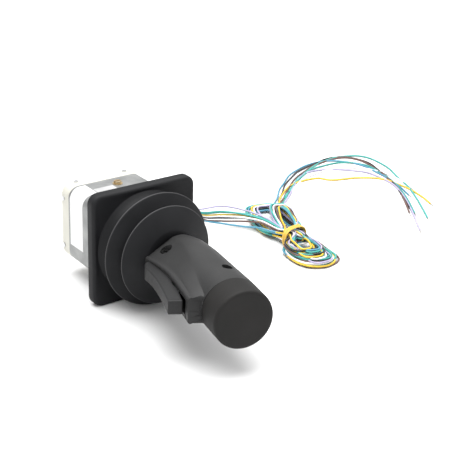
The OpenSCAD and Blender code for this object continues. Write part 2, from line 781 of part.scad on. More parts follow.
// Upper half of the handle's outer form, flat on y = 0
module handle_form() {
    guard_z = fin_top + tilt_top * (grip_axis_x(seam_z) + guard_t - fin_edge_x(fin_top)) + guard_round;
    loft(concat(
        [for (k = [0:n_rings - 1]) finned_half(base_z + (fin_top - base_z) * k / (n_rings - 1))],
        [round_half(guard_z, grip_r, tilt_top), round_half(seam_z, grip_r, tan(cap_lean))]));
}

// Inner wall of the trigger's slot at height z
function slot_x(z) = slot_x_low + (slot_x_top - slot_x_low) * share(z - slot_bend_z, slot_z1 - slot_bend_z);

// Ring of a chamber inside the grip, cut off by the web behind the trigger's slot, reaching just below y = 0
function chamber_ring(z) = let (c = grip_axis_x(z), r = round_r(z) - grip_wall, w = slot_x(z) + web_t)
    concat([[c + r, -1, z]],
        [for (i = [0:12]) let (b = 15 * i) [max(c + r * cos(b), w), r * sin(b), z]],
        [[w, -1, z]]);

// Hollow stretches of the grip, between the ribs that hold the shaft's sleeve
module chambers() {
    for (stretch = [[base_floor_t, low_rib_up], [low_rib_up + rib_t, mid_rib_up],
                    [mid_rib_up + rib_t, high_rib_up], [high_rib_up + rib_t, seam_z - base_z - bulkhead_t]])
        loft([for (k = [0:2]) chamber_ring(base_z + stretch[0] + (stretch[1] - stretch[0]) * k / 2)]);
}

module trigger_slot() {
    slope = tilt_top;
    far_x = -60;
    end_z = function(x) slot_z1 + slope * (x - fin_edge_x(slot_z1));
    xz_plate([[far_x, slot_z0], [slot_x_low, slot_z0], [slot_x_low, slot_bend_z],
              [slot_x_top, end_z(slot_x_top)], [far_x, end_z(far_x)]], slot_h);
}

// Half ring that the end cap is pressed onto, in the cap's own frame
module spigot_half() {
    rotate_extrude(angle = 180) polygon([[spigot_r - spigot_wall, 0], [spigot_r - spigot_wall, spigot_l],
        [spigot_r, spigot_l], [spigot_r, -1.5], [spigot_r - spigot_wall, -1.5]]);
}

module in_cap_frame() {
    translate([seam_x, 0, seam_z]) rotate([0, -cap_lean, 0]) children();
}

// Bosses of the handle screws in the half y > 0
module screw_bosses() {
    for (p = screw_places) translate([p[0], 0, p[1]]) {
        y_rod(boss_low_r, 0, p[2]);
        y_rod(boss_top_r, well_floor - 1.2, p[2]);
    }
}

// Half shell with everything that both halves have
module handle_half() {
    difference() {
        union() {
            difference() {
                handle_form();
                chambers();
            }
            screw_bosses();
            in_cap_frame() spigot_half();
        }
        trigger_slot();
        translate([0, 0, (base_z + sleeve_top) / 2])
            cube([sleeve_w + 2 * press_gap, sleeve_h + 2 * press_gap, sleeve_top - base_z + 2], center = true);
        translate([trigger_x, 0, trigger_z])
            y_rod(trigger_pin_r + press_gap, -1, trigger_pin_l / 2 + seat_gap);
    }
}

module handle_upper() {
    lay() color("#55565a") difference() {
        handle_half();
        for (p = screw_places) translate([p[0], 0, p[1]]) {
            y_rod(tap_r + press_gap, -1, grip_r);
            y_rod(well_d / 2, well_floor, grip_r + 2);
        }
    }
}

module handle_lower() {
    lay() color("#55565a") mirror([0, 1, 0]) difference() {
        handle_half();
        for (p = screw_places) translate([p[0], 0, p[1]]) y_rod(tap_r + press_gap, -1, p[2] - 1.2);
    }
}

module handle_screws() {
    lay() color("#2a2b2e") for (p = screw_places) translate([p[0], 0, p[1]]) difference() {
        union() {
            y_rod(tap_r, well_floor - tap_l, well_floor + 0.5);
            y_rod(tap_head_r, well_floor, well_floor + tap_head_t);
        }
        translate([0, well_floor + tap_head_t, 0]) {
            cube([3.6, 2, 0.9], center = true);
            cube([0.9, 2, 3.6], center = true);
        }
    }
}

module shaft_sleeve() {
    lay() color("#9b9da1") difference() {
        translate([-sleeve_w / 2, -sleeve_h / 2, base_z]) cube([sleeve_w, sleeve_h, sleeve_top - base_z]);
        translate([0, 0, base_z - 1]) cylinder(r = shaft_r + press_gap, h = sleeve_top);
        translate([0, 0, sleeve_pin_z]) y_rod(sleeve_pin_r + press_gap, -sleeve_h, sleeve_h);
    }
}

module sleeve_pin() {
    lay() color("#b9bbbe") translate([0, 0, sleeve_pin_z])
        y_rod(sleeve_pin_r, -sleeve_h / 2 + 0.3, sleeve_h / 2 - 0.3);
}

module end_cap() {
    top = cap_l;
    lay() color("#2f2e2d") in_cap_frame() rotate_extrude() polygon(concat(
        [[0, spigot_l + 0.6], [spigot_r + press_gap, spigot_l + 0.6], [spigot_r + press_gap, 0], [cap_r - 0.5, 0],
         [cap_r, 0.5]],
        [for (k = [0:6]) [cap_r - cap_edge_r * (1 - cos(15 * k)), top - cap_edge_r * (1 - sin(15 * k))]],
        [[0, top]]));
}

// ---- trigger ----

// Finger face of the trigger at height z
function trigger_face_x(z) = trigger_front_x - trigger_sweep * soft_ramp(z - trigger_bend_z, trigger_bend_soft);

module trigger_body() {
    foot_z = base_z + trigger_foot_up;
    tip_z = slot_z1 - trigger_tip_drop;
    spring_half = trigger_pocket_r + 0.5;
    magnet_half = 2 * trigger_magnet_r;
    xz_plate(concat(
        [[trigger_x + 0.9, foot_z], [trigger_x - 3, foot_z], [trigger_front_x + 1.5, foot_z + 0.9]],
        [for (k = [0:7]) let (z = trigger_z + 1 + (tip_z - trigger_z - 4) * k / 7) [trigger_face_x(z), z]],
        [[trigger_face_x(tip_z) - 0.2, tip_z], [trigger_tip_x, slot_z1 - 1], [trigger_tip_x + 2, tip_z - 1],
         [trigger_back_x - 1.6, trigger_spring_z + spring_half + 1.5],
         [trigger_back_x, trigger_spring_z + spring_half], [trigger_back_x, trigger_spring_z - spring_half],
         [trigger_flat_x, trigger_magnet_z + magnet_half], [trigger_flat_x, trigger_magnet_z - magnet_half],
         [trigger_x + trigger_hub_r, trigger_z + 3], [trigger_x + trigger_hub_r, trigger_z]]), trigger_w);
}

module trigger() {
    lay() color("#47484c") difference() {
        union() {
            trigger_body();
            translate([trigger_x, 0, trigger_z]) y_rod(trigger_hub_r, -trigger_w / 2, trigger_w / 2);
        }
        translate([trigger_x, 0, trigger_z]) y_rod(trigger_pin_r + run_gap, -trigger_w, trigger_w);
        translate([0, 0, trigger_spring_z]) x_rod(trigger_pocket_r, trigger_pocket_x, -10);
        translate([0, 0, trigger_magnet_z])
            x_rod(trigger_magnet_r + press_gap, trigger_flat_x - trigger_magnet_t, -10);
    }
}

module trigger_pin() {
    lay() color("#c6c8cb") translate([trigger_x, 0, trigger_z])
        y_rod(trigger_pin_r, -trigger_pin_l / 2, trigger_pin_l / 2);
}

module trigger_spring() {
    x0 = trigger_pocket_x + trigger_spring_wire / 2 + 0.1;
    x1 = slot_x(trigger_spring_z) - 1.2;
    steps = 10 * trigger_spring_turns;
    lay() color("#b9bbbe") translate([0, 0, trigger_spring_z]) tube(
        [for (i = [0:steps]) let (a = 36 * i)
            [x0 + (x1 - x0) * i / steps, trigger_spring_r * cos(a), trigger_spring_r * sin(a)]],
        trigger_spring_wire / 2, 5, [1, 0, 0]);
}

module trigger_magnet() {
    lay() color("#7d8085") translate([0, 0, trigger_magnet_z])
        x_rod(trigger_magnet_r, trigger_flat_x - trigger_magnet_t, trigger_flat_x);
}

module trigger_sensor() {
    x0 = slot_x_low - trigger_board_t;
    lay() {
        color("#1f6b3a") translate([x0, -slot_h / 2 + seat_gap, trigger_magnet_z - trigger_board_l / 2])
            cube([trigger_board_t, slot_h - 2 * seat_gap, trigger_board_l]);
        color("#1b1b1d") translate([x0 - 0.8, -1.5, trigger_magnet_z - 1.5]) cube([1, 3, 3]);
    }
}

// ---- leads, in the laid-down frame ----

module wire_lead() {
    color("#6f8f8d") tube(smooth(lead_path, 2), lead_r, 8, [0, 0, 1]);
}

module wire_hank() {
    color("#6f8f8d") translate([exit_x, exit_y, floor_z]) linear_extrude(hank_h) hull()
        for (p = [hank_a, hank_b]) translate(p) circle(hank_r, $fn = 32);
}

module wire_tails() {
    color("#6f8f8d") for (route = [tail_route_outer, tail_route_inner])
        tube(smooth([for (p = route) [exit_x + p[0], exit_y + p[1], floor_z + tail_up]], 2),
            tail_r, 8, [0, 0, 1]);
}

boot_base();
bellows_rear();
bellows_front();
mounting_plate();
housing();
housing_screws();
earth_screw();
side_label();
top_label();
rear_cover();
cover_screws();
wire_grommet();
sensor_board();
hall_sensors();
wire_header();
board_screws();
pivot_pins();
gimbal_ring();
ring_bushes();
outer_spring();
inner_spring();
pivot_block();
cross_pin();
centring_lever();
handle_shaft();
magnet_holder();
stick_magnet();
shaft_sleeve();
sleeve_pin();
handle_upper();
handle_lower();
handle_screws();
end_cap();
trigger();
trigger_pin();
trigger_spring();
trigger_magnet();
trigger_sensor();
wire_lead();
wire_hank();
wire_tails();
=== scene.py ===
import logging
import math
from dataclasses import dataclass, field
from enum import Enum
from typing import Optional, Sequence

import bpy
import numpy as np
from mathutils import Matrix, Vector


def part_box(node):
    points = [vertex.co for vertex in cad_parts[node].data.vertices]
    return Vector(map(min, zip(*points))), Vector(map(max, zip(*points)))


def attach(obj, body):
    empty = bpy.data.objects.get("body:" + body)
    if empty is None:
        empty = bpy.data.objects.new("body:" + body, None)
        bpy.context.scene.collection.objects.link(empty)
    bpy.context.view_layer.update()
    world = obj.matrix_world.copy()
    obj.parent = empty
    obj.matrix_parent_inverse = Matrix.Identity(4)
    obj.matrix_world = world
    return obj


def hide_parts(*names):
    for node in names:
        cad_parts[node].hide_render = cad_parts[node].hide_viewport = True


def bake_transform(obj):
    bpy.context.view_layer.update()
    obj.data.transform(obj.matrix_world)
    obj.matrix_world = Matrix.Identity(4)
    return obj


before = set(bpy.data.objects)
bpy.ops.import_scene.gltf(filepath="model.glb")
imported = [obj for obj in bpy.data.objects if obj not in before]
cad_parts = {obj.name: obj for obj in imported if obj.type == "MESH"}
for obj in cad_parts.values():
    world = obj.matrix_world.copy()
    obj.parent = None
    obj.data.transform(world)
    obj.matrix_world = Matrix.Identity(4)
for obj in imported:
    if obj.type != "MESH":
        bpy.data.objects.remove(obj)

LOG = logging.getLogger("joystick")
MM = 0.001
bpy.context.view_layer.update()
FLANGE_T = (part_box("boot_base")[1][1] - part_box("boot_base")[0][1]) / MM
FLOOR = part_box("wire_hank")[0][2] / MM

Colour = tuple[float, float, float]


# ---- places and shapes ----

def laid(points: np.ndarray) -> np.ndarray:
    """Turns points of the standing joystick onto its side, in the row frame.

    Args:
        points: (..., 3) in mm, with z = 0 on the flange's front face and the handle along +z.

    Returns:
        The same points in metres, lying down: (x, y, z) becomes (x, -z - flange, y).
    """
    x, y, z = points[..., 0], points[..., 1], points[..., 2]
    return np.stack([x, -z - FLANGE_T, y], axis=-1) * MM


def soft_ramp(d: np.ndarray, soft: float) -> np.ndarray:
    """0 far below a bend and rising by one per mm above it, with a corner as soft as soft."""
    return (d + np.sqrt(d * d + soft * soft)) / 2


def ease(s: np.ndarray) -> np.ndarray:
    """Smooth step from 0 to 1 as s goes from 0 to 1: 3s^2 - 2s^3, flat outside."""
    s = np.clip(s, 0.0, 1.0)
    return s * s * (3 - 2 * s)


def unit(v: np.ndarray) -> np.ndarray:
    """Vectors of length 1 along the given ones."""
    return v / np.linalg.norm(v, axis=-1, keepdims=True)


def grid_faces(rows: int, columns: int, closed_rows: bool = False,
               closed_columns: bool = False) -> np.ndarray:
    """Quads of a grid of points stored row by row.

    Args:
        rows: number of rows.
        columns: number of points in a row.
        closed_rows: whether the last row joins the first.
        closed_columns: whether the last column joins the first.

    Returns:
        (n, 4) indices, each quad running along its row first.
    """
    i = np.arange(rows if closed_rows else rows - 1)[:, None]
    j = np.arange(columns if closed_columns else columns - 1)[None, :]
    a, b = i * columns + j, i * columns + (j + 1) % columns
    c, d = (i + 1) % rows * columns + (j + 1) % columns, (i + 1) % rows * columns + j
    return np.stack([a, b, c, d], axis=-1).reshape(-1, 4)


def spline(points: np.ndarray, step: float) -> np.ndarray:
    """Even points along a Catmull-Rom curve through the given ones.

    Each stretch is the cubic that passes its two points with the slope of their neighbours, and the
    whole curve is then resampled by its length.

    Args:
        points: (n, 3) route.
        step: distance between the points returned.
    """
    pieces = 24
    p = np.vstack([2 * points[0] - points[1], points, 2 * points[-1] - points[-2]])
    s = np.linspace(0, 1, pieces, endpoint=False)[None, :, None]
    a, b, c, d = (p[k:len(p) - 3 + k][:, None, :] for k in range(4))
    fine = 0.5 * (2 * b + (c - a) * s + (2 * a - 5 * b + 4 * c - d) * s**2 + (3 * b - a - 3 * c + d) * s**3)
    return resampled(np.vstack([fine.reshape(-1, 3), points[-1:]]), step)


def resampled(line: np.ndarray, step: float) -> np.ndarray:
    """Points a step apart along a line, with both its ends kept."""
    far = np.concatenate([[0.0], np.cumsum(np.linalg.norm(np.diff(line, axis=0), axis=1))])
    at = np.linspace(0, far[-1], max(2, int(round(far[-1] / step)) + 1))
    return np.stack([np.interp(at, far, line[:, k]) for k in range(3)], axis=1)


@dataclass
class Surface:
    """Points and faces of a piece in the making, in metres."""

    points: np.ndarray
    faces: list[Sequence[int]]
    # Share of a painted highlight at each point, which lightens the colour of a Moulded finish.
    painted_highlight: Optional[np.ndarray] = None

    @staticmethod
    def of_grid(points: np.ndarray, closed_rows: bool = False, closed_columns: bool = False,
                caps: bool = False) -> "Surface":
        """Surface through a grid of points.

        Args:
            points: (rows, columns, 3) in metres.
            closed_rows: whether the last row joins the first.
            closed_columns: whether the last column joins the first.
            caps: whether the first and last rows are closed with a flat face.
        """
        rows, columns = points.shape[:2]
        faces = grid_faces(rows, columns, closed_rows, closed_columns).tolist()
        if caps:
            faces.append(list(range(columns))[::-1])
            faces.append(list(range((rows - 1) * columns, rows * columns)))
        return Surface(points.reshape(-1, 3), faces)

def lathe(profile: np.ndarray, turns: int) -> np.ndarray:
    """Grid of a profile turned about the standing z axis.

    Row i, column k is (r_i cos a_k, r_i sin a_k, z_i), with a_k going once round.

    Args:
        profile: (n, 2) of radius and height in mm.
        turns: number of points round.
    """
    a = np.linspace(0, 2 * np.pi, turns, endpoint=False)
    r, z = profile[:, :1], profile[:, 1:]
    return np.stack([r * np.cos(a), r * np.sin(a), np.broadcast_to(z, (len(profile), turns))], axis=-1)


def tube(line: np.ndarray, radius: np.ndarray, sides: int) -> Surface:
    """Round tube along a line that never runs straight up.

    Ring i is line_i + radius_i (cos a u_i + sin a v_i), where u_i is level and square to the line, and
    v_i is square to both. Both ends are closed.

    Args:
        line: (n, 3) in metres.
        radius: one number, or one for each point.
        sides: number of points round.
    """
    t = unit(np.gradient(line, axis=0))
    u = unit(np.cross([0.0, 0.0, 1.0], t))
    v = np.cross(t, u)
    a = np.linspace(0, 2 * np.pi, sides, endpoint=False)[None, :, None]
    r = np.broadcast_to(np.asarray(radius, float), len(line))[:, None, None]
    rings = line[:, None, :] + r * (np.cos(a) * u[:, None, :] + np.sin(a) * v[:, None, :])
    return Surface.of_grid(rings, closed_columns=True, caps=True)


def rounded_profile(points: Sequence[Sequence[float]], radii: Sequence[float],
                    steps: int = 5) -> np.ndarray:
    """Open outline whose inner corners are rounded.

    Each corner is replaced by the quadratic curve that leaves one side and meets the other at its
    radius, as far as the sides are long enough.

    Args:
        points: (n, 2) corners in mm.
        radii: how far from each corner its rounding starts; the first and last are not used.
        steps: pieces in a rounding.
    """
    under_half = 0.49
    p = np.asarray(points, float)
    out = [p[:1]]
    s = np.linspace(0, 1, steps + 1)[:, None]
    for k in range(1, len(p) - 1):
        back, on = p[k - 1] - p[k], p[k + 1] - p[k]
        cut = min(radii[k], under_half * np.linalg.norm(back), under_half * np.linalg.norm(on))
        a, b = p[k] + unit(back) * cut, p[k] + unit(on) * cut
        out.append((1 - s) ** 2 * a + 2 * s * (1 - s) * p[k] + s**2 * b)
    out.append(p[-1:])
    return np.vstack(out)


# ---- finishes ----

class Shader:
    """A new material with a Principled shader, and short calls to build its nodes."""

    def __init__(self, name: str) -> None:
        """Makes the material called name."""
        self.material = bpy.data.materials.new(name)
        self.material.use_nodes = True
        self.tree = self.material.node_tree
        self.surface = self.tree.nodes["Principled BSDF"]

    def add(self, kind: str, **inputs: object) -> bpy.types.Node:
        """Adds a node of a kind and sets its inputs by name, with _ for a space."""
        node = self.tree.nodes.new(kind)
        for name, value in inputs.items():
            node.inputs[name.replace("_", " ")].default_value = value
        return node

    def join(self, out: bpy.types.NodeSocket, into: bpy.types.NodeSocket) -> None:
        """Joins two sockets."""
        self.tree.links.new(out, into)

    def set(self, **inputs: object) -> None:
        """Sets inputs of the Principled shader by name, with _ for a space."""
        for name, value in inputs.items():
            self.surface.inputs[name.replace("_", " ")].default_value = value

    def place(self, stretch: Sequence[float] = (1.0, 1.0, 1.0)) -> bpy.types.NodeSocket:
        """The point of the piece that is shaded, in metres, stretched along each axis."""
        coordinates = self.add("ShaderNodeTexCoord")
        mapping = self.add("ShaderNodeMapping", Scale=tuple(stretch))
        self.join(coordinates.outputs["Object"], mapping.inputs["Vector"])
        return mapping.outputs["Vector"]

    def noise(self, place: bpy.types.NodeSocket, size_mm: float, detail: float = 3.0,
              rough: float = 0.5) -> bpy.types.NodeSocket:
        """Noise with lumps about size_mm across."""
        node = self.add("ShaderNodeTexNoise", Scale=1 / (size_mm * MM), Detail=detail, Roughness=rough)
        self.join(place, node.inputs["Vector"])
        return node.outputs["Fac"]

    def blend(self, share: bpy.types.NodeSocket, low: Colour, high: Colour) -> bpy.types.NodeSocket:
        """Colour from low to high as share goes from 0.3 to 0.7."""
        ramp = self.tree.nodes.new("ShaderNodeValToRGB")
        ramp.color_ramp.elements[0].position = 0.3
        ramp.color_ramp.elements[1].position = 0.7
        ramp.color_ramp.elements[0].color = (*low, 1)
        ramp.color_ramp.elements[1].color = (*high, 1)
        self.join(share, ramp.inputs["Fac"])
        return ramp.outputs["Color"]

    def between(self, share: bpy.types.NodeSocket, low: float, high: float) -> bpy.types.NodeSocket:
        """Number from low to high as share goes from 0.25 to 0.75."""
        node = self.add("ShaderNodeMapRange", From_Min=0.25, From_Max=0.75, To_Min=low, To_Max=high)
        self.join(share, node.inputs["Value"])
        return node.outputs["Result"]

    def painted_highlight(self, colour: bpy.types.NodeSocket, highlight_colour: Colour) -> bpy.types.NodeSocket:
        """Colour that turns to a lighter colour, a painted highlight, where the piece's own attribute marks
        it.
        """
        share = self.tree.nodes.new("ShaderNodeAttribute")
        share.attribute_name = "painted_highlight"
        mix = self.tree.nodes.new("ShaderNodeMix")
        mix.data_type = "RGBA"
        mix.inputs["B"].default_value = (*highlight_colour, 1)
        self.join(share.outputs["Fac"], mix.inputs["Factor"])
        self.join(colour, mix.inputs["A"])
        return mix.outputs["Result"]

    def bump(self, height: bpy.types.NodeSocket, depth_mm: float,
             under: Optional[bpy.types.NodeSocket] = None) -> bpy.types.NodeSocket:
        """Normal of a surface that stands depth_mm proud where height is 1, over another bump."""
        node = self.add("ShaderNodeBump", Strength=1.0, Distance=depth_mm * MM)
        self.join(height, node.inputs["Height"])
        if under is not None:
            self.join(under, node.inputs["Normal"])
        return node.outputs["Normal"]

    def finish(self, colour: Optional[bpy.types.NodeSocket], roughness: Optional[bpy.types.NodeSocket],
               normal: Optional[bpy.types.NodeSocket]) -> bpy.types.Material:
        """Joins what varies to the Principled shader and gives the material back."""
        for socket, name in ((colour, "Base Color"), (roughness, "Roughness"), (normal, "Normal")):
            if socket is not None:
                self.join(socket, self.surface.inputs[name])
        return self.material


@dataclass(frozen=True)
class Finish:
    """What a surface looks like: its name and the two shades that it wanders between."""

    name: str
    dark: Colour
    light: Colour

    def material(self) -> bpy.types.Material:
        """Builds the material."""
        raise NotImplementedError


@dataclass(frozen=True)
class Moulded(Finish):
    """Moulded rubber or plastic: a fine skin grain, slow shade changes, uneven sheen and a painted highlight
    where a piece marks it.
    """

    roughness: tuple[float, float] = (0.5, 0.62)
    grain_mm: float = 0.35
    grain_depth_mm: float = 0.012
    waviness_mm: float = 0.05
    specular: float = 0.45
    # Colour of the painted highlight that is mixed in where a piece marks it.
    painted_highlight: Colour = (0.12, 0.12, 0.125)

    def material(self) -> bpy.types.Material:
        """Builds the material."""
        s = Shader(self.name)
        place = s.place()
        slow = s.noise(place, 22, 2)
        grain = s.noise(place, self.grain_mm, 4, 0.6)
        normal = s.bump(grain, self.grain_depth_mm, s.bump(slow, self.waviness_mm))
        s.set(Specular_IOR_Level=self.specular)
        # The painted highlight is mixed into the colour here.
        colour = s.painted_highlight(s.blend(slow, self.dark, self.light), self.painted_highlight)
        return s.finish(colour, s.between(grain, *self.roughness), normal)


@dataclass(frozen=True)
class CastMetal(Finish):
    """Blasted die casting: bright metal with a dull, finely pitted skin."""

    roughness: tuple[float, float] = (0.42, 0.58)
    pit_mm: float = 0.5
    pit_depth_mm: float = 0.02
    metallic: float = 0.9

    def material(self) -> bpy.types.Material:
        """Builds the material."""
        s = Shader(self.name)
        place = s.place()
        cloud = s.noise(place, 14, 3)
        pits = s.noise(place, self.pit_mm, 5, 0.65)
        s.set(Metallic=self.metallic)
        return s.finish(s.blend(cloud, self.dark, self.light), s.between(pits, *self.roughness),
                        s.bump(pits, self.pit_depth_mm))


@dataclass(frozen=True)
class TurnedMetal(Finish):
    """Ground, drawn or turned metal with fine lines along one axis."""

    roughness: tuple[float, float] = (0.22, 0.4)
    stretch: tuple[float, float, float] = (1.0, 0.05, 1.0)

    def material(self) -> bpy.types.Material:
        """Builds the material."""
        s = Shader(self.name)
        lines = s.noise(s.place(self.stretch), 0.25, 3)
        cloud = s.noise(s.place(), 6, 2)
        s.set(Metallic=1.0)
        return s.finish(s.blend(cloud, self.dark, self.light), s.between(lines, *self.roughness),
                        s.bump(lines, 0.004))


@dataclass(frozen=True)
class Film(Finish):
    """Printed label film: flat and slightly shiny, with a little orange peel."""

    def material(self) -> bpy.types.Material:
        """Builds the material."""
        s = Shader(self.name)
        place = s.place()
        peel = s.noise(place, 1.2, 2)
        s.set(Coat_Weight=0.25, Coat_Roughness=0.3)
        return s.finish(s.blend(s.noise(place, 9, 2), self.dark, self.light), s.between(peel, 0.38, 0.5),
                        s.bump(peel, 0.006))


@dataclass(frozen=True)
class Board(Finish):
    """Circuit board: solder mask over traces that show as faint straight steps."""

    def material(self) -> bpy.types.Material:
        """Builds the material."""
        s = Shader(self.name)
        bricks = s.add("ShaderNodeTexBrick", Scale=1 / (2.5 * MM), Mortar_Size=0.06)
        for name, colour in (("Color1", self.dark), ("Color2", self.dark), ("Mortar", self.light)):
            bricks.inputs[name].default_value = (*colour, 1)
        s.join(s.place(), bricks.inputs["Vector"])
        gloss = s.noise(s.place(), 3, 2)
        return s.finish(bricks.outputs["Color"], s.between(gloss, 0.25, 0.4), s.bump(gloss, 0.01))


@dataclass(frozen=True)
class Insulation(Finish):
    """Soft PVC round a wire: even colour with a faint haze and a soft gloss."""

    translucent: float = 0.05

    def material(self) -> bpy.types.Material:
        """Builds the material."""
        s = Shader(self.name)
        place = s.place()
        haze = s.noise(place, 5, 2)
        fine = s.noise(place, 0.4, 2)
        s.set(Specular_IOR_Level=0.5, Subsurface_Weight=self.translucent, Subsurface_Scale=0.0006)
        return s.finish(s.blend(haze, self.dark, self.light), s.between(haze, 0.3, 0.42), s.bump(fine, 0.008))


@dataclass
class Wardrobe:
    """Every finish of the joystick, made once and handed out by name."""

    made: dict[str, bpy.types.Material] = field(default_factory=dict)

    def get(self, finish: Finish) -> bpy.types.Material:
        """The material of a finish, built the first time that it is asked for."""
        if finish.name not in self.made:
            self.made[finish.name] = finish.material()
        return self.made[finish.name]


# The boot rubber's last colour is its painted highlight, which lightens the bellows' outermost lips.
BOOT_RUBBER = Moulded("boot_rubber", (0.008, 0.0083, 0.0093), (0.012, 0.0123, 0.0137), (0.5, 0.64),
                      grain_mm=0.3, waviness_mm=0.12, specular=0.18, painted_highlight=(0.06, 0.06, 0.062))
GRIP_PLASTIC = Moulded("grip_plastic", (0.018, 0.018, 0.0182), (0.023, 0.023, 0.0233), (0.46, 0.58),
                       grain_mm=0.4, waviness_mm=0.03, specular=0.3)
CAP_RUBBER = Moulded("cap_rubber", (0.010, 0.0096, 0.0092), (0.014, 0.0132, 0.0126), (0.55, 0.7),
                     grain_mm=0.25, grain_depth_mm=0.015, waviness_mm=0.03, specular=0.2)
TRIGGER_PLASTIC = Moulded("trigger_plastic", (0.014, 0.014, 0.0145), (0.018, 0.018, 0.0185), (0.44, 0.56),
                          grain_mm=0.5, grain_depth_mm=0.01, waviness_mm=0.03, specular=0.26)
BLACK_PLASTIC = Moulded("black_plastic", (0.012, 0.012, 0.013), (0.02, 0.02, 0.021), (0.35, 0.5))
COVER_PLASTIC = Moulded("cover_plastic", (0.50, 0.49, 0.43), (0.57, 0.56, 0.50), (0.4, 0.52),
                        grain_mm=0.5, grain_depth_mm=0.01, waviness_mm=0.02)
RUBBER_BAND = Moulded("rubber_band", (0.58, 0.35, 0.045), (0.68, 0.45, 0.08), (0.4, 0.55),
                      grain_mm=0.6, grain_depth_mm=0.03)
BLACK_SCREW = Moulded("black_screw", (0.004, 0.004, 0.004), (0.007, 0.007, 0.007), (0.5, 0.7),
                      grain_mm=0.3, grain_depth_mm=0.01, waviness_mm=0.0, specular=0.1)
HOUSING_CAST = CastMetal("housing_cast", (0.24, 0.245, 0.245), (0.36, 0.365, 0.36), (0.42, 0.62),
                         pit_mm=0.7, pit_depth_mm=0.03)
ZINC_CAST = CastMetal("zinc_cast", (0.45, 0.46, 0.48), (0.58, 0.59, 0.61))
PLATE_METAL = CastMetal("plate_metal", (0.50, 0.51, 0.52), (0.60, 0.61, 0.62), (0.3, 0.45))
STEEL = TurnedMetal("ground_steel", (0.55, 0.56, 0.58), (0.68, 0.69, 0.71))
SPRING_STEEL = TurnedMetal("spring_steel", (0.40, 0.41, 0.43), (0.55, 0.56, 0.58), (0.25, 0.4))
BRASS = TurnedMetal("dull_brass", (0.50, 0.37, 0.20), (0.66, 0.53, 0.33), (0.25, 0.42), (1.0, 1.0, 0.1))
BRONZE = TurnedMetal("sintered_bronze", (0.40, 0.25, 0.12), (0.52, 0.35, 0.18), (0.4, 0.55))
MAGNET = TurnedMetal("nickel_plating", (0.50, 0.49, 0.46), (0.60, 0.59, 0.56), (0.12, 0.25))
TINNED_COPPER = TurnedMetal("tinned_copper", (0.60, 0.58, 0.55), (0.75, 0.72, 0.68), (0.25, 0.4))
LABEL_FILM = Film("label_film", (0.64, 0.64, 0.64), (0.70, 0.70, 0.70))
SILVER_FILM = Film("silver_film", (0.34, 0.34, 0.34), (0.42, 0.42, 0.42))
GREEN_BOARD = Board("green_board", (0.02, 0.10, 0.05), (0.05, 0.18, 0.09))


# ---- pieces ----

def placed(name: str, data: bpy.types.ID) -> bpy.types.Object:
    """Puts a mesh, lamp or camera into the scene as an object."""
    made = bpy.data.objects.new(name, data)
    bpy.context.scene.collection.objects.link(made)
    return made


def meshed(name: str, surface: Surface) -> bpy.types.Object:
    """Puts a surface into the scene as a mesh."""
    mesh = bpy.data.meshes.new(name)
    mesh.from_pydata(surface.points.tolist(), [], surface.faces)
    return placed(name, mesh)


@dataclass
class Maker:
    """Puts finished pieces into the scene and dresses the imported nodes."""

    wardrobe: Wardrobe

    def piece(self, name: str, surface: Surface, finish: Finish, body: Optional[str], slot: str,
              replaces: Sequence[str] = ()) -> bpy.types.Object:
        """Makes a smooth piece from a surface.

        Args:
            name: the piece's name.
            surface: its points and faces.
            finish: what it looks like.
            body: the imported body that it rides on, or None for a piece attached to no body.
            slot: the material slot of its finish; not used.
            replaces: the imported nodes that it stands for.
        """
        made = meshed(name, surface)
        made.data.polygons.foreach_set("use_smooth", np.full(len(surface.faces), True))
        made.data.update()
        # Painted highlight: a lighter colour where the surface marks it.
        if surface.painted_highlight is not None:
            painted_highlight = made.data.attributes.new("painted_highlight", "FLOAT", "POINT")
            painted_highlight.data.foreach_set("value", surface.painted_highlight.astype(np.float32))
        made.data.materials.append(self.wardrobe.get(finish))
        if body is not None:
            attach(made, body)
        if replaces:
            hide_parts(*replaces)
        LOG.info("piece %s: %d points on %s", name, len(surface.points), body)
        return made

    def dress(self, nodes: dict[Finish, tuple[str, ...]]) -> None:
        """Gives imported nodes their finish, from a table of the nodes of each finish."""
        for finish, names in nodes.items():
            for made in (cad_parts[name] for name in names):
                for slot in made.material_slots:
                    slot.material = self.wardrobe.get(finish)
                if not made.material_slots:
                    made.data.materials.append(self.wardrobe.get(finish))

    @staticmethod
    def edges_softened(made: bpy.types.Object, width_mm: float) -> None:
        """Rounds the piece's sharp edges with a live bevel and shades the rest by its angle."""
        bevel = made.modifiers.new("soft_edges", "BEVEL")
        bevel.width = width_mm * MM
        bevel.segments = 3
        bevel.limit_method = "ANGLE"
        bevel.angle_limit = math.radians(35)
        made.modifiers.new("weighted_normals", "WEIGHTED_NORMAL").keep_sharp = True

    @staticmethod
    def applied(made: bpy.types.Object) -> None:
        """Replaces the piece's mesh by what its modifiers make of it, and drops them."""
        depsgraph = bpy.context.evaluated_depsgraph_get()
        mesh = bpy.data.meshes.new_from_object(made.evaluated_get(depsgraph))
        made.modifiers.clear()
        made.data = mesh

    def cut(self, made: bpy.types.Object, cutter: Surface) -> None:
        """Cuts a closed surface out of a piece."""
        tool = meshed("cutter", cutter)
        boolean = made.modifiers.new("cut", "BOOLEAN")
        boolean.operation = "DIFFERENCE"
        boolean.solver = "EXACT"
        boolean.object = tool
        bpy.context.view_layer.update()
        self.applied(made)
        bpy.data.objects.remove(tool)


# ---- studio ----

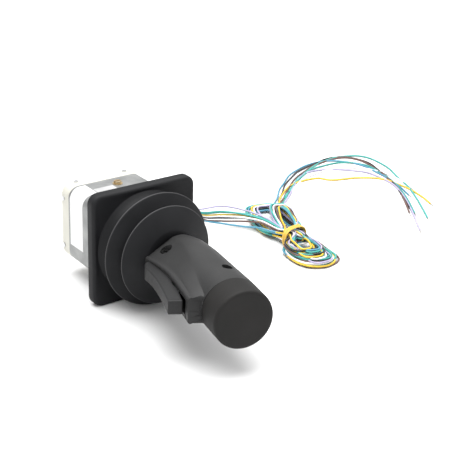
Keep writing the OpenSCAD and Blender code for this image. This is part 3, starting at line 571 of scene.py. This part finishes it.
@dataclass
class Studio:
    """Plain pale floor, soft light from above and to the right, and the camera.

    The room's light grows from the horizon to the zenith; lamps are given by name, with their place
    and size in metres and their power in watts.
    """

    place_mm: tuple[float, float, float] = (-428.8, -685.9, 359.0)
    right: tuple[float, float, float] = (0.8138, -0.5806, 0.0261)
    up: tuple[float, float, float] = (0.2106, 0.3366, 0.9178)
    lens_mm: float = 104.0
    sensor_mm: float = 36.0
    farthest: float = 20.0
    floor_size: float = 60.0
    floor_shade: float = 0.74
    horizon: float = 0.3
    zenith: float = 1.4
    lamps: tuple[tuple[str, tuple[float, float, float], float, float], ...] = (
        ("ceiling", (-0.1, 0.0, 1.6), 1.6, 44),
        ("window", (1.4, 0.2, 1.2), 1.2, 6),
    )

    @staticmethod
    def turned(made: bpy.types.Object, place: Sequence[float], right: np.ndarray, up: np.ndarray) -> None:
        """Stands a camera or lamp at a place in metres, by its right and up directions."""
        turn = Matrix(np.column_stack([right, up, np.cross(right, up)]).tolist()).to_4x4()
        made.matrix_world = Matrix.Translation(place) @ turn

    def camera(self) -> None:
        """Sets the camera up from its place and its right and up directions."""
        data = bpy.data.cameras.new("camera")
        data.lens = self.lens_mm
        data.sensor_width = self.sensor_mm
        data.clip_end = self.farthest
        camera = placed("camera", data)
        right, up = unit(np.array(self.right)), np.array(self.up)
        self.turned(camera, np.array(self.place_mm) * MM, right, unit(up - right * (up @ right)))
        bpy.context.scene.camera = camera

    def floor(self) -> None:
        """Lays the floor under the flange's edge."""
        half, z = self.floor_size / 2, FLOOR * MM
        corners = np.array([(-half, -half, z), (half, -half, z), (half, half, z), (-half, half, z)])
        floor = meshed("floor", Surface(corners, [(0, 1, 2, 3)]))
        shader = Shader("floor_white")
        shader.set(Base_Color=(*[self.floor_shade] * 3, 1), Roughness=0.6, Specular_IOR_Level=0.1)
        floor.data.materials.append(shader.material)

    def lamp(self, name: str, place: tuple[float, float, float], size: float, power: float) -> None:
        """Hangs a square lamp that faces the joystick."""
        data = bpy.data.lights.new(name, "AREA")
        data.size = size
        data.energy = power
        back = unit(np.array(place))
        side = unit(np.cross([0.0, 0.0, 1.0], back))
        self.turned(placed(name, data), place, side, np.cross(back, side))

    def light(self) -> None:
        """Fills the room with pale light, stronger with the height looked at, and hangs the lamps."""
        world = bpy.data.worlds.new("room")
        world.use_nodes = True
        tree, back = world.node_tree, world.node_tree.nodes["Background"]
        back.inputs["Color"].default_value = (1, 1, 1, 1)
        place = tree.nodes.new("ShaderNodeTexCoord")
        height = tree.nodes.new("ShaderNodeSeparateXYZ")
        dome = tree.nodes.new("ShaderNodeMapRange")
        limits = {"From Min": 0.0, "From Max": 0.8, "To Min": self.horizon, "To Max": self.zenith}
        for name, value in limits.items():
            dome.inputs[name].default_value = value
        tree.links.new(place.outputs["Generated"], height.inputs["Vector"])
        tree.links.new(height.outputs["Z"], dome.inputs["Value"])
        tree.links.new(dome.outputs["Result"], back.inputs["Strength"])
        bpy.context.scene.world = world
        bpy.context.scene.view_settings.view_transform = "Standard"
        for lamp in self.lamps:
            self.lamp(*lamp)

    def build(self) -> None:
        """Sets up camera, floor and light."""
        self.camera()
        self.floor()
        self.light()


# ---- leads ----

class WireColour(Enum):
    """Insulation of the eight leads."""

    TEAL = (0.055, 0.37, 0.325)
    BROWN = (0.13, 0.065, 0.052)
    WHITE = (0.85, 0.85, 0.86)
    YELLOW = (0.74, 0.50, 0.035)
    VIOLET = (0.42, 0.38, 0.56)
    BLUE = (0.08, 0.28, 0.40)
    BLACK = (0.02, 0.02, 0.022)
    GREEN = (0.04, 0.31, 0.27)

    def finish(self) -> Insulation:
        """The insulation in this colour."""
        haze = 0.82
        return Insulation(f"pvc_{self.name.lower()}", tuple(c * haze for c in self.value), self.value)


# Where each lead's tail lies on the bench, x and y in mm, from the hank to its bare end.
TAILS: dict[WireColour, list[tuple[float, float]]] = {
    WireColour.BLUE: [(179, 77.5), (197, 95), (217, 112), (234, 122), (250, 128), (265, 129), (279, 125),
                      (289, 114), (294, 98), (293, 81.5), (291.5, 66), (287, 47), (281, 30)],
    WireColour.BROWN: [(187, 78), (223, 108), (247, 120), (268, 127), (284, 128), (296, 123), (300, 112),
                       (299, 95), (293, 73), (286, 50.5), (271, 25), (255, 1)],
    WireColour.TEAL: [(181, 73), (202.5, 89), (239, 115), (280, 130), (302, 125), (311, 112), (310, 91),
                      (301, 65), (291, 39), (275, 10), (260, -14.5)],
    WireColour.YELLOW: [(190, 84), (207, 96), (225, 101), (240.5, 99), (249, 89), (270, 82), (286, 69),
                        (290.5, 45), (288, 23), (283, 6)],
    WireColour.VIOLET: [(190, 76), (234, 112), (259, 111), (276, 100), (287, 81), (284, 49), (265, 12),
                        (238, -29)],
    WireColour.WHITE: [(188, 70), (210, 92), (236, 106), (262, 109), (283, 101), (296, 84), (298, 62),
                       (294, 40), (288, 22)],
    WireColour.BLACK: [(185, 80), (220, 111), (245, 123), (268, 130), (287, 130), (299, 121), (302, 104),
                       (297, 82), (289, 58), (276, 33), (262, 8)],
    WireColour.GREEN: [(183, 72), (206, 92), (240, 114), (266, 120), (285, 116), (296, 101), (295, 78),
                       (288, 54), (275, 26), (258, -2)],
}


@dataclass(frozen=True)
class Lobe:
    """One end of a loop in the hank: how far it reaches, how wide and high it lies, and its turn."""

    reach: float
    half_width: float
    height: float
    turn: float

    def points(self, sign: float) -> np.ndarray:
        """Seven points round the lobe, from its left side over the tip to its right side.

        In the hank's own frame: left and right, along, height. The lobe widens quickly from the waist,
        runs on at its full width, and ends in an arc.

        Args:
            sign: 1 for the far end of the hank and -1 for the near one.
        """
        r, w = self.reach, self.half_width
        along = np.array([0.3 * r, 0.58 * r, r - 0.32 * w, r])
        side = np.array([0.93 * w, w, 0.76 * w, 0.0])
        half = np.column_stack([-side, along * sign])
        whole = np.vstack([half, half[2::-1] * [-1, 1]])
        c, n = math.cos(self.turn), math.sin(self.turn)
        whole = whole @ np.array([[c, n], [-n, c]])
        rise = np.array([0.3, 0.0, 0.0, 0.0, 0.0, 0.0, 0.3]) * (6.5 - self.height)
        return np.column_stack([whole, self.height + rise])


@dataclass
class Leads:
    """Eight flying leads: out of the grommet, round the hank, and along the bench to their bare ends.

    Lengths are in mm. aside is how far each lead keeps from the middle of the bunch as it leaves the
    hank, and fan is how much it is lifted, and shifted towards the handle, on its way to the hank.
    """

    maker: Maker
    diameter: float = 1.45
    bare: float = 5.0
    laps: int = 4
    waist: tuple[float, float] = (137.8, 2.2)
    waist_half: tuple[float, float] = (9.0, 6.5)
    seed: int = 11
    aside: tuple[float, ...] = (-2.2, 0.8, 2.6, -0.4, 3.6, -3.4, 1.7, -1.3)
    fan: tuple[tuple[float, float], ...] = ((0.45, 0.1), (-0.75, 0.5), (-0.15, 0.3), (0.0, 0.0), (1.1, -0.2),
                                            (-0.9, 1.4), (-0.4, 0.2), (0.3, -0.1))

    def __post_init__(self) -> None:
        """Deals out the places in the waist and the loops' sizes, in a fixed shuffle."""
        self.random = np.random.default_rng(self.seed)
        leads = len(WireColour)
        near = self.random.permutation(leads * self.laps).reshape(leads, self.laps)
        self.near = [[self.near_lobe(k) for k in row] for row in near]
        far = self.random.permutation(leads * 2).reshape(leads, 2)
        top = self.random.permutation(leads)
        self.far = [[self.far_lobe(j) for j in far[k]] + [self.top_lobe(top[k])] for k in range(leads)]
        places = self.waist_places()
        self.left = places[near]
        self.right = (places * [-1, 1])[(near * 5 + 9) % len(places)]

    def waist_places(self) -> np.ndarray:
        """Places of the strands on the left of the waist, in staggered rows, the lowest first."""
        pitch, row_height, gap = 1.62, 1.36, 0.4
        i, j = np.meshgrid(np.arange(-8, 1), np.arange(-5, 6))
        grid = np.stack([pitch * (i + 0.5 * (j % 2)) - gap, row_height * j], axis=-1).reshape(-1, 2)
        left = grid[grid[:, 0] < -0.3]
        share = np.abs(left) / np.array(self.waist_half)
        kept = left[np.argsort((share**3).sum(1))][:len(WireColour) * self.laps]
        return kept[np.argsort(kept[:, 1] / self.waist_half[1] - 0.5 * kept[:, 0] / self.waist_half[0])]

    def near_lobe(self, k: int) -> Lobe:
        """Loop k of 32 at the near end: the longest lie on the bench, and the shorter ones on them."""
        column, row = divmod(k, 4)
        jitter = self.random.uniform(-0.5, 0.5, 3)
        slim = 0.62 if row == 3 else 1.0
        return Lobe(44.0 - 2.1 * column + 2 * jitter[0], slim * (15.6 - 0.8 * column) + 2.5 * jitter[1],
                    0.75 + 1.4 * row + 0.75 * column, math.radians(-4 - 1.6 * column + 11 * jitter[2]))

    def far_lobe(self, k: int) -> Lobe:
        """Loop k of 16 at the far end, open round a dark middle."""
        column, row = divmod(k, 3)
        jitter = self.random.uniform(-0.5, 0.5, 3)
        return Lobe(73.0 - 1.9 * column + jitter[0], 16.5 - 1.6 * column + jitter[1],
                    0.75 + 1.5 * row + 0.4 * column, math.radians(-17.0 + 4 * jitter[2]))

    def top_lobe(self, k: int) -> Lobe:
        """Loop k of 8 in the narrow bunch that crosses over the far end."""
        column, row = divmod(k, 2)
        jitter = self.random.uniform(-0.5, 0.5, 3)
        return Lobe(59.0 - 2.2 * column + jitter[0], 7.4 - 0.8 * column + 0.5 * jitter[1],
                    7.8 + 1.45 * row, math.radians(-24 - 1.5 * column + 3 * jitter[2]))

    def through(self, place: np.ndarray, on: float) -> np.ndarray:
        """Two points through the waist at a place in it, going along the hank by on."""
        lift, reach = 0.7, 3.2
        height = self.waist_half[1] + lift + place[1]
        return np.array([[place[0], -reach * on, height], [place[0], reach * on, height]])

    def hank(self, number: int) -> np.ndarray:
        """Points of the laps of lead number, from the waist's left side to its right one."""
        stretches = []
        for lap in range(self.laps):
            stretches.append(self.through(self.left[number, lap], -1.0))
            stretches.append(self.near[number][lap].points(-1.0))
            stretches.append(self.through(self.right[number, lap], 1.0))
            if lap < self.laps - 1:
                stretches.append(self.far[number][lap].points(1.0)[::-1])
        points = np.vstack(stretches)
        return points + np.array([*self.waist, FLOOR])

    def out_of_grommet(self, number: int) -> np.ndarray:
        """Route from the grommet's mouth down to the hank: the leads fan out, and then close up."""
        around = len(WireColour) - 1
        inside = 0.4
        low, high = (np.array(c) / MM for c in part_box("wire_grommet"))
        turn = 2 * np.pi * number / around
        ring = 0.0 if number == around else 1.5
        middle = (low[1] + high[1]) / 2
        start = np.array([high[0] - inside, middle + ring * np.cos(turn), ring * np.sin(turn)])
        lift, near = self.fan[number]
        way = np.array([[7, 0, 0], [18, 1, -2.5], [33, 4, -9], [49, 8.5, -16.5]], float) + start
        rest = np.array([[95, 60, -26.5], [112, 59.5, -29.8], [126, 51, -30.5], [134, 36, -30.3],
                         [136, 18, -31.5]])
        rest[:, 2] += lift * np.array([4.6, 6.2, 3.6, 1.2, 0.8])
        rest[:, 1] += near * np.array([0.0, -3.0, -9.0, -6.0, 0.0])
        rest[:, 0] += near * np.array([0.0, -1.0, -5.0, -8.0, -5.0])
        rest[:, 2] = np.maximum(rest[:, 2], FLOOR + 1.5)
        return np.vstack([start, way, rest])

    def tail(self, number: int) -> np.ndarray:
        """Route from the hank's waist over its far end and along the bench to the free end."""
        route = np.array(TAILS[list(WireColour)[number]], float)
        flat = np.column_stack([route, np.full(len(route), FLOOR + self.diameter / 2 + 0.05)])
        over = np.array([[149, 14, -28.0], [156, 28, -27.5], [162.5, 42, -29.0], [168, 55, -33.0],
                         [174, 66, -37.0]])
        over[:, :2] += self.aside[number] * np.array([0.3, 0.6, 0.9, 1.1, 1.2])[:, None] * [0.93, -0.36]
        return np.vstack([over, flat])

    def route(self, number: int) -> np.ndarray:
        """Whole centreline of a lead in metres, from the grommet to its bare end."""
        joined = np.vstack([self.out_of_grommet(number), self.hank(number), self.tail(number)])
        line = spline(joined, 1.5)
        way = np.linspace(0, 1, len(line))[:, None]
        wave = np.sin(2 * np.pi * (way * [37, 31, 29] + self.random.uniform(0, 1, 3)))
        line = line + wave * [0.35, 0.35, 0.15] * ease((way - 0.1) / 0.05) * ease((1 - way) / 0.1)
        line[:, 2] = np.maximum(line[:, 2], FLOOR + self.diameter / 2 + 0.02)
        return line * MM

    def wire(self, number: int, colour: WireColour) -> None:
        """Makes a lead with its stripped end."""
        line = self.route(number)
        name = f"lead_{colour.name.lower()}"
        end = line[-1] + unit(line[-1] - line[-2]) * self.bare * MM
        core = resampled(np.array([line[-2], end]), 0.5 * MM)
        tip = self.maker.piece(f"{name}_core", tube(core, self.diameter * 0.3 * MM, 10), TINNED_COPPER,
                               "chassis", "steel")
        wire = self.maker.piece(name, tube(line, self.diameter / 2 * MM, 10), colour.finish(), "chassis",
                                "wire_pvc", replaces=("wire_lead", "wire_hank", "wire_tails"))

    def band(self) -> None:
        """Rubber band wound twice round the hank's waist, one turn beside the other.

        The middle line is a rounded box about the strands: radius (|cos|^p + |sin|^p)^(-1/p) times the
        half width and half height, and it drifts along the hank as it goes round.
        """
        turns, power = 2.15, 2.7
        a = np.linspace(0, 2 * np.pi * turns, 280)
        c, s = np.cos(a), np.sin(a)
        reach = (np.abs(c) ** power + np.abs(s) ** power) ** (-1 / power)
        x = self.waist[0] + reach * c * (self.waist_half[0] + 1.5)
        y = self.waist[1] + (a / (2 * np.pi) - turns / 2) * 2.3
        y = y + 0.9 * np.sin(a + 0.6) + 0.1 * (x - self.waist[0])
        z = FLOOR + self.waist_half[1] + 0.9 + reach * s * (self.waist_half[1] + 1.2)
        line = np.column_stack([x, y, np.maximum(z, FLOOR + 0.6)]) * MM
        t = unit(np.gradient(line, axis=0))
        side = unit(np.array([0.0, 1.0, 0.0]) - t * t[:, 1:2])
        out = np.cross(t, side)
        half_width, half_thick = 1.15 * MM, 0.6 * MM
        b = np.linspace(0, 2 * np.pi, 12, endpoint=False)[None, :, None]
        rings = half_width * np.cos(b) * side[:, None, :] + half_thick * np.sin(b) * out[:, None, :]
        rings = line[:, None, :] + rings
        self.maker.piece("rubber_band", Surface.of_grid(rings, closed_columns=True, caps=True), RUBBER_BAND,
                         "chassis", "cover_plastic")

    def build(self) -> None:
        """Makes the eight leads and the band."""
        for number, colour in enumerate(WireColour):
            self.wire(number, colour)
        self.band()


# ---- boot ----

@dataclass
class Boot:
    """Square rubber base and its two-fold bellows."""

    maker: Maker
    corner: float = 7.0
    edge: float = 2.3
    back_edge: float = 1.2
    foot_r: float = 35.0
    opening_half: float = 37.0
    turns: int = 192

    def rounded_square(self, half: float, corner: float, steps: int = 10) -> np.ndarray:
        """Outline of a square with quarter-circle corners and sides that bow out by a hair."""
        a = np.linspace(0, np.pi / 2, steps)
        arc = np.stack([half - corner + corner * np.cos(a), half - corner + corner * np.sin(a)], axis=1)
        side = np.linspace(0, 1, 14)[1:-1, None]
        quarter = np.vstack([arc, arc[-1] + side * (np.array([-arc[0, 1], arc[0, 0]]) - arc[-1])])
        turn = np.array([[0, 1], [-1, 0]])
        return np.vstack([quarter @ np.linalg.matrix_power(turn, k) for k in range(4)])

    def base(self) -> None:
        """Soft slab: its rings shrink as the front edge rounds over, and end at the bellows' foot."""
        half = (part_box("boot_base")[1][0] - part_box("boot_base")[0][0]) / 2 / MM
        a = np.linspace(0, np.pi / 2, 7)
        r = self.back_edge
        back = [(r * (1 - math.sin(t)), -FLANGE_T + r * (1 - math.cos(t))) for t in a]
        front = [(self.edge * (1 - math.cos(t)), -self.edge + self.edge * math.sin(t)) for t in a]
        rings = []
        for inset, z in back + [(0.0, -FLANGE_T / 2)] + front:
            ring = self.rounded_square(half - inset, self.corner - inset * 0.6)
            rings.append(np.column_stack([ring, np.full(len(ring), z)]))
        foot = rings[-1].copy()
        for share in (0.25, 0.6, 1.0):
            ring = foot.copy()
            ring[:, :2] += share * (unit(foot[:, :2]) * self.foot_r - foot[:, :2])
            ring[:, 2] = -0.35 * np.sin(np.pi * share)
            rings.append(ring)
        inner = rings[0].copy()
        inner[:, :2] *= self.opening_half / half
        rings.insert(0, inner)
        surface = Surface.of_grid(laid(np.array(rings)), closed_columns=True)
        self.maker.piece("boot_slab", surface, BOOT_RUBBER, "chassis", "boot_rubber", replaces=("boot_base",))

    def fold(self, name: str, node: str, outside: np.ndarray, wall: float) -> None:
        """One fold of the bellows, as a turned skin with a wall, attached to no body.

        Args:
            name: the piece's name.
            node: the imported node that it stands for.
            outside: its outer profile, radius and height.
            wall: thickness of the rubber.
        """
        slope = np.gradient(outside, axis=0)
        inside = outside - unit(np.stack([slope[:, 1], -slope[:, 0]], axis=1)) * wall
        lowest, highest = outside[:, 1].min(), outside[:, 1].max()
        inside[:, 1] = np.clip(inside[:, 1], lowest, highest)
        profile = np.vstack([outside, inside[::-1], outside[:1]])
        surface = Surface.of_grid(laid(lathe(profile, self.turns)), closed_columns=True)
        # Painted highlight: the colour lightens over the outermost 0.35 mm of the fold's radius, on its lip.
        surface.painted_highlight = np.repeat(np.clip(1 - (profile[:, 0].max() - profile[:, 0]) / 0.35, 0, 1), self.turns)
        piece = self.maker.piece(name, surface, BOOT_RUBBER, None, "boot_rubber", replaces=(node,))
        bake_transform(piece)

    def bellows(self) -> None:
        """Rear fold from the base to the gimbal ring, and front fold from there to the handle."""
        rear = rounded_profile([(36.5, -0.2), (33.6, 2.4), (31.2, 6.4), (36.4, 11.0), (39.3, 13.7),
                                (40.0, 14.6), (39.4, 15.4), (33.5, 17.6), (27.6, 20.1), (27.3, 20.4)],
                               [0, 2, 2.5, 2, 1.0, 0.35, 0.5, 3, 0.6, 0])
        front = rounded_profile([(27.3, 20.4), (27.8, 20.8), (31.4, 23.2), (33.8, 24.9), (34.5, 25.6),
                                 (34.0, 26.3), (28.0, 29.2), (22.4, 31.6), (19.6, 32.7), (11.0, 32.95)],
                                [0, 0.5, 2, 1.0, 0.35, 0.5, 3, 1.5, 0.8, 0])
        self.fold("bellows_rear_skin", "bellows_rear", rear, 1.3)
        self.fold("bellows_front_skin", "bellows_front", front, 1.3)

    def build(self) -> None:
        """Makes the base and both folds."""
        self.base()
        self.bellows()


# ---- handle ----

@dataclass
class Handle:
    """Moulded handle in two halves, with its trigger, slot, guard, screw wells and end cap."""

    maker: Maker
    base_z: float = 33.0
    seam_z: float = 110.0
    neck_x: float = 4.3
    neck_r: float = 16.2
    grip_r: float = 19.2
    grip_lean: float = 10.1
    lean_z: float = 68.2
    round_h: float = 33.0
    fin_top: float = 101.5
    fin_x: float = 20.5
    fin_flare: float = 0.3
    fin_bend: tuple[float, float] = (58.8, 10.0)
    fin_t: tuple[float, float] = (8.3, 2.1)
    fin_swell_h: float = 54.0
    tilt_top: float = 0.2
    leave: tuple[float, float] = (106.5, 0.95)
    leave_bend: tuple[float, float] = (57.0, 12.0)
    arc_points: int = 30
    slot_half: float = 5.2
    slot_z0: float = 36.0
    slot_z1: float = 96.6
    slot_bend_z: float = 70.0
    slot_x_low: float = 13.8
    slot_x_gain: float = 6.2
    blade_half: float = 4.85
    cap_lean: float = 12.5
    wells: tuple[tuple[float, float, float, float], ...] = ((-9.4, 40.4, 4.2, 3.8), (0.2, 94.2, 8.6, 3.4))

    def axis_x(self, z: np.ndarray) -> np.ndarray:
        """Middle of the round part at height z: it stands still in the neck and leans above it."""
        return np.minimum(self.neck_x, -math.tan(math.radians(self.grip_lean)) * (z - self.lean_z))

    def round_r(self, z: np.ndarray) -> np.ndarray:
        """Radius of the round part: from the neck's to the grip's along a parabola."""
        u = np.clip((z - self.base_z) / self.round_h, 0, 1)
        return self.grip_r - (self.grip_r - self.neck_r) * (1 - u) ** 2

    def edge_x(self, z: np.ndarray) -> np.ndarray:
        """Edge of the fin, upright at the neck and flaring above a soft bend."""
        bend, soft = self.fin_bend
        return -self.fin_x - self.fin_flare * soft_ramp(z - bend, soft)

    def fin_half(self, z: np.ndarray) -> np.ndarray:
        """Half thickness of the fin, which swells from its base along a parabola."""
        full, swell = self.fin_t
        return full - swell * (1 - np.clip((z - self.base_z) / self.fin_swell_h, 0, 1)) ** 2

    def tilt(self, z: np.ndarray) -> np.ndarray:
        """Slope of the section through the fin's edge at height z."""
        return self.tilt_top * np.clip((z - self.base_z) / (self.fin_top - self.base_z), 0, 1) ** 1.3

    def slot_x(self, z: np.ndarray) -> np.ndarray:
        """Inner wall of the trigger's slot."""
        share = np.clip((z - self.slot_bend_z) / (self.slot_z1 - self.slot_bend_z), 0, 1)
        return -self.slot_x_low - self.slot_x_gain * share

    def leave_angle(self, z: np.ndarray) -> np.ndarray:
        """Angle on the round part, in radians from its back, where the fin's cheek leaves it."""
        base, rate = self.leave
        bend, soft = self.leave_bend
        return np.radians(base + rate * soft_ramp(z - bend, soft))

    def sections(self, z: np.ndarray, opened: np.ndarray) -> np.ndarray:
        """Half outlines of the finned part, from the back of the grip round to the slot.

        Each is a circle's arc, a straight cheek that leaves it, the fin's rounded edge, and then the
        slot's cheek and wall, which lie flat along the fin's edge where the slot is closed. The whole
        outline leans about the fin's edge, so its height is z + tilt (x - edge).

        Args:
            z: (n,) heights at the fin's edge.
            opened: (n,) 1 where the slot is open and 0 where it isn't.
        """
        z, opened = z[:, None], opened[:, None]
        t, e, h = self.tilt(z), self.edge_x(z), self.fin_half(z)
        c, r = self.axis_x(z + t * self.fin_x), self.round_r(z)
        arc = self.leave_angle(z) * np.linspace(0, 1, self.arc_points)[None, :]
        ax, ay = c + r * np.cos(arc), r * np.sin(arc)
        s = np.linspace(0, 1, 15)[None, 1:]
        rim = 1.5
        lx, ly = ax[:, -1:] + s * (e + rim - ax[:, -1:]), ay[:, -1:] + s * (h - ay[:, -1:])
        from_edge = lx - e
        ly = ly + 0.4 * ease((2.6 - from_edge) / 0.6) - 0.25 * np.exp(-((from_edge - 3.1) / 0.6) ** 2)
        b = np.radians(np.linspace(90, 180, 7))[None, 1:]
        rim_x, rim_y = e + rim + rim * np.cos(b), ly[:, -1:] - rim + rim * np.sin(b)
        j = np.linspace(0, 1, 6)[None, 1:]
        flat_x, flat_y = e + 0 * j, rim_y[:, -1:] + j * (self.slot_half - rim_y[:, -1:])
        k = np.linspace(0, 1, 12)[None, 1:]
        inner = self.slot_x(z + t * (-15 - e))
        down = np.clip(k * 1.5, 0, 1)
        wall_x = e + opened * down * (inner - e)
        wall_y = self.slot_half * (1 - np.where(opened > 0.5, np.clip(k * 3 - 2, 0, 1), k))
        x = np.concatenate([ax, lx, rim_x, flat_x, wall_x], axis=1)
        y = np.concatenate([ay, ly, rim_y, flat_y, wall_y], axis=1)
        return np.stack([x, y, z + t * (x - e)], axis=-1)

    def round_sections(self, z: np.ndarray, slope: np.ndarray, columns: int) -> np.ndarray:
        """Half outlines of the round part, with their middles at z, on planes of the given slope.

        The columns sit at the angles where the finned outline has its own, so that the guard's end
        is a flat face between the two.
        """
        share = np.linspace(0, 1, columns - self.arc_points + 1)[None, 1:]
        leave = self.leave_angle(np.array(self.fin_top))
        arc = leave * np.linspace(0, 1, self.arc_points)[None, :]
        angle = np.concatenate([arc, leave + share * (np.pi - leave)], axis=1)
        c, r = self.axis_x(z)[:, None], self.grip_r
        x, y = c + r * np.cos(angle), r * np.sin(angle) + 0 * c
        return np.stack([x, y, z[:, None] + slope[:, None] * (x - c)], axis=-1)

    def half(self) -> np.ndarray:
        """Rows of the half handle's outside, from its base to the seam with the cap."""
        low = np.array([self.base_z, self.base_z + 0.6, self.slot_z0 - 1, self.slot_z0])
        mid = np.linspace(self.slot_z0, self.slot_z1, 46)
        high = np.array([self.slot_z1, self.slot_z1 + 1.2, 99.2, 100.7, self.fin_top])
        z = np.concatenate([low, mid, high])
        opened = np.concatenate([0 * low, 0 * mid + 1, 0 * high])
        rows = self.sections(z, opened)
        rows[0, :, :2] = rows[0, :, :2] * 0.985
        middle, edge = (float(x) for x in (self.axis_x(self.seam_z), self.edge_x(self.fin_top)))
        guard = self.fin_top + self.tilt_top * (middle + 4.9 - edge)
        heights = np.concatenate([[guard + 0.25, guard + 0.9], np.linspace(guard + 2, self.seam_z, 5)])
        slope = np.linspace(self.tilt_top, math.tan(math.radians(self.cap_lean)), len(heights))
        return np.concatenate([rows, self.round_sections(heights, slope, rows.shape[1])])

    def shell(self, upper: bool) -> None:
        """One half of the handle, closed by a flat face on the parting plane.

        Args:
            upper: whether it is the half with the screw wells.
        """
        rows = self.half()
        sign = 1.0 if upper else -1.0
        rows = rows * np.array([1, sign, 1])
        if not upper:
            rows = rows[:, ::-1]
        surface = Surface.of_grid(laid(rows), closed_columns=True, caps=True)
        side = "upper" if upper else "lower"
        piece = self.maker.piece(f"handle_half_{side}", surface, GRIP_PLASTIC, "stick", "handle_plastic",
                                 replaces=(f"handle_{side}",))
        if upper:
            outside = 24.0
            for x, z, floor, r in self.wells:
                a = np.linspace(0, 2 * np.pi, 40, endpoint=False)
                ring = np.stack([x + r * np.cos(a), 0 * a, z + r * np.sin(a)], axis=1)
                ends = [ring + [0, y, 0] for y in (outside, floor)]
                self.maker.cut(piece, Surface.of_grid(laid(np.array(ends)), closed_columns=True, caps=True))
        self.maker.edges_softened(piece, 0.7)

    def in_cap(self, points: np.ndarray) -> np.ndarray:
        """Moves points from the cap's own frame onto the leaning end of the grip."""
        a = math.radians(self.cap_lean)
        x, y, z = points[..., 0], points[..., 1], points[..., 2]
        middle = float(self.axis_x(self.seam_z))
        return np.stack([middle + x * math.cos(a) - z * math.sin(a), y,
                         self.seam_z + x * math.sin(a) + z * math.cos(a)], axis=-1)

    def cap(self) -> None:
        """Rubber end cap: a turned cup with a soft end edge and a fine undercut at the seam."""
        r, long, edge = self.grip_r + 0.3, 20.0, 5.2
        profile = rounded_profile([(17.1, 0.05), (r - 0.35, 0.05), (r, 0.55), (r, long), (r - 5, long),
                                   (0.02, long + 0.15)], [0, 0.2, 0.3, edge, 1.0, 0], 7)
        grid = self.in_cap(lathe(profile, 128))
        self.maker.piece("end_cap_cup", Surface.of_grid(laid(grid), closed_columns=True), CAP_RUBBER, "stick",
                         "cap_rubber", replaces=("end_cap",))

    def trigger(self) -> None:
        """Trigger blade: its side outline is carried across, and shrinks as its edges round over."""
        z = np.linspace(42.5, 88.5, 22)
        hollow = -25.5 - 0.36 * soft_ramp(z - 49, 14.0) + 0.5 * np.sin(np.pi * (z - 42) / 47)
        face = np.stack([hollow, z], axis=1)
        rest = rounded_profile([face[-1], (-41.2, 91.0), (-33.2, 95.6), (-30.9, 90.0), (-26.5, 79.5),
                                (-25.5, 72.0), (-20.5, 64.0), (-20.5, 55.0), (-14.4, 45.0), (-14.6, 40.0),
                                (-17.5, 36.7), (-21.5, 36.6), (-24.0, 37.6), face[0]],
                               [0, 0.9, 1.0, 1.0, 1.0, 1.0, 1.0, 1.0, 1.5, 1.5, 1.0, 0.5, 1.0, 0], 4)
        outline = np.vstack([face[:-1], rest[:-1]])
        slope = np.roll(outline, -1, axis=0) - np.roll(outline, 1, axis=0)
        out = unit(np.stack([-slope[:, 1], slope[:, 0]], axis=1))
        soft = np.where(outline[:, 0] < self.edge_x(outline[:, 1]) - 0.5, 1.1, 0.4)
        a = np.radians(np.linspace(0, 90, 6))
        rows = []
        for side, t in [(-1, t) for t in a[::-1]] + [(1, t) for t in a]:
            shape = outline - out * (soft * (1 - math.cos(t)))[:, None]
            across = side * (self.blade_half - soft * (1 - math.sin(t)))
            rows.append(np.stack([shape[:, 0], across, shape[:, 1]], axis=1))
        surface = Surface.of_grid(laid(np.array(rows)), closed_columns=True, caps=True)
        self.maker.piece("trigger_blade", surface, TRIGGER_PLASTIC, "trigger", "trigger_plastic",
                         replaces=("trigger",))

    def build(self) -> None:
        """Makes both halves, the cap and the trigger, and dresses what is inside."""
        self.shell(True)
        self.shell(False)
        self.cap()
        self.trigger()
        self.maker.dress({
            BLACK_SCREW: ("handle_screws",),
            STEEL: ("trigger_pin", "sleeve_pin", "handle_shaft"),
            SPRING_STEEL: ("trigger_spring",),
            MAGNET: ("trigger_magnet",),
            GREEN_BOARD: ("trigger_sensor",),
            ZINC_CAST: ("shaft_sleeve",),
        })


# ---- housing ----

@dataclass
class Housing:
    """Die-cast housing with its cover, labels, screws, gimbal and sensor board."""

    maker: Maker

    def build(self) -> None:
        """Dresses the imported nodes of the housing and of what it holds."""
        self.maker.dress({
            HOUSING_CAST: ("housing",),
            PLATE_METAL: ("mounting_plate",),
            COVER_PLASTIC: ("rear_cover", "wire_header"),
            LABEL_FILM: ("side_label",),
            SILVER_FILM: ("top_label",),
            BRASS: ("earth_screw",),
            BLACK_PLASTIC: ("wire_grommet", "hall_sensors", "magnet_holder"),
            GREEN_BOARD: ("sensor_board",),
            STEEL: ("cover_screws", "housing_screws", "board_screws", "pivot_pins", "cross_pin",
                    "centring_lever"),
            ZINC_CAST: ("gimbal_ring", "pivot_block"),
            BRONZE: ("ring_bushes",),
            SPRING_STEEL: ("outer_spring", "inner_spring"),
            MAGNET: ("stick_magnet",),
        })


def main() -> None:
    """Builds the studio and every sub-assembly in order."""
    logging.basicConfig(level=logging.INFO, format="%(name)s: %(message)s")
    maker = Maker(Wardrobe())
    Studio().build()
    Leads(maker).build()
    Boot(maker).build()
    Handle(maker).build()
    Housing(maker).build()


if __name__ == "__main__":
    main()
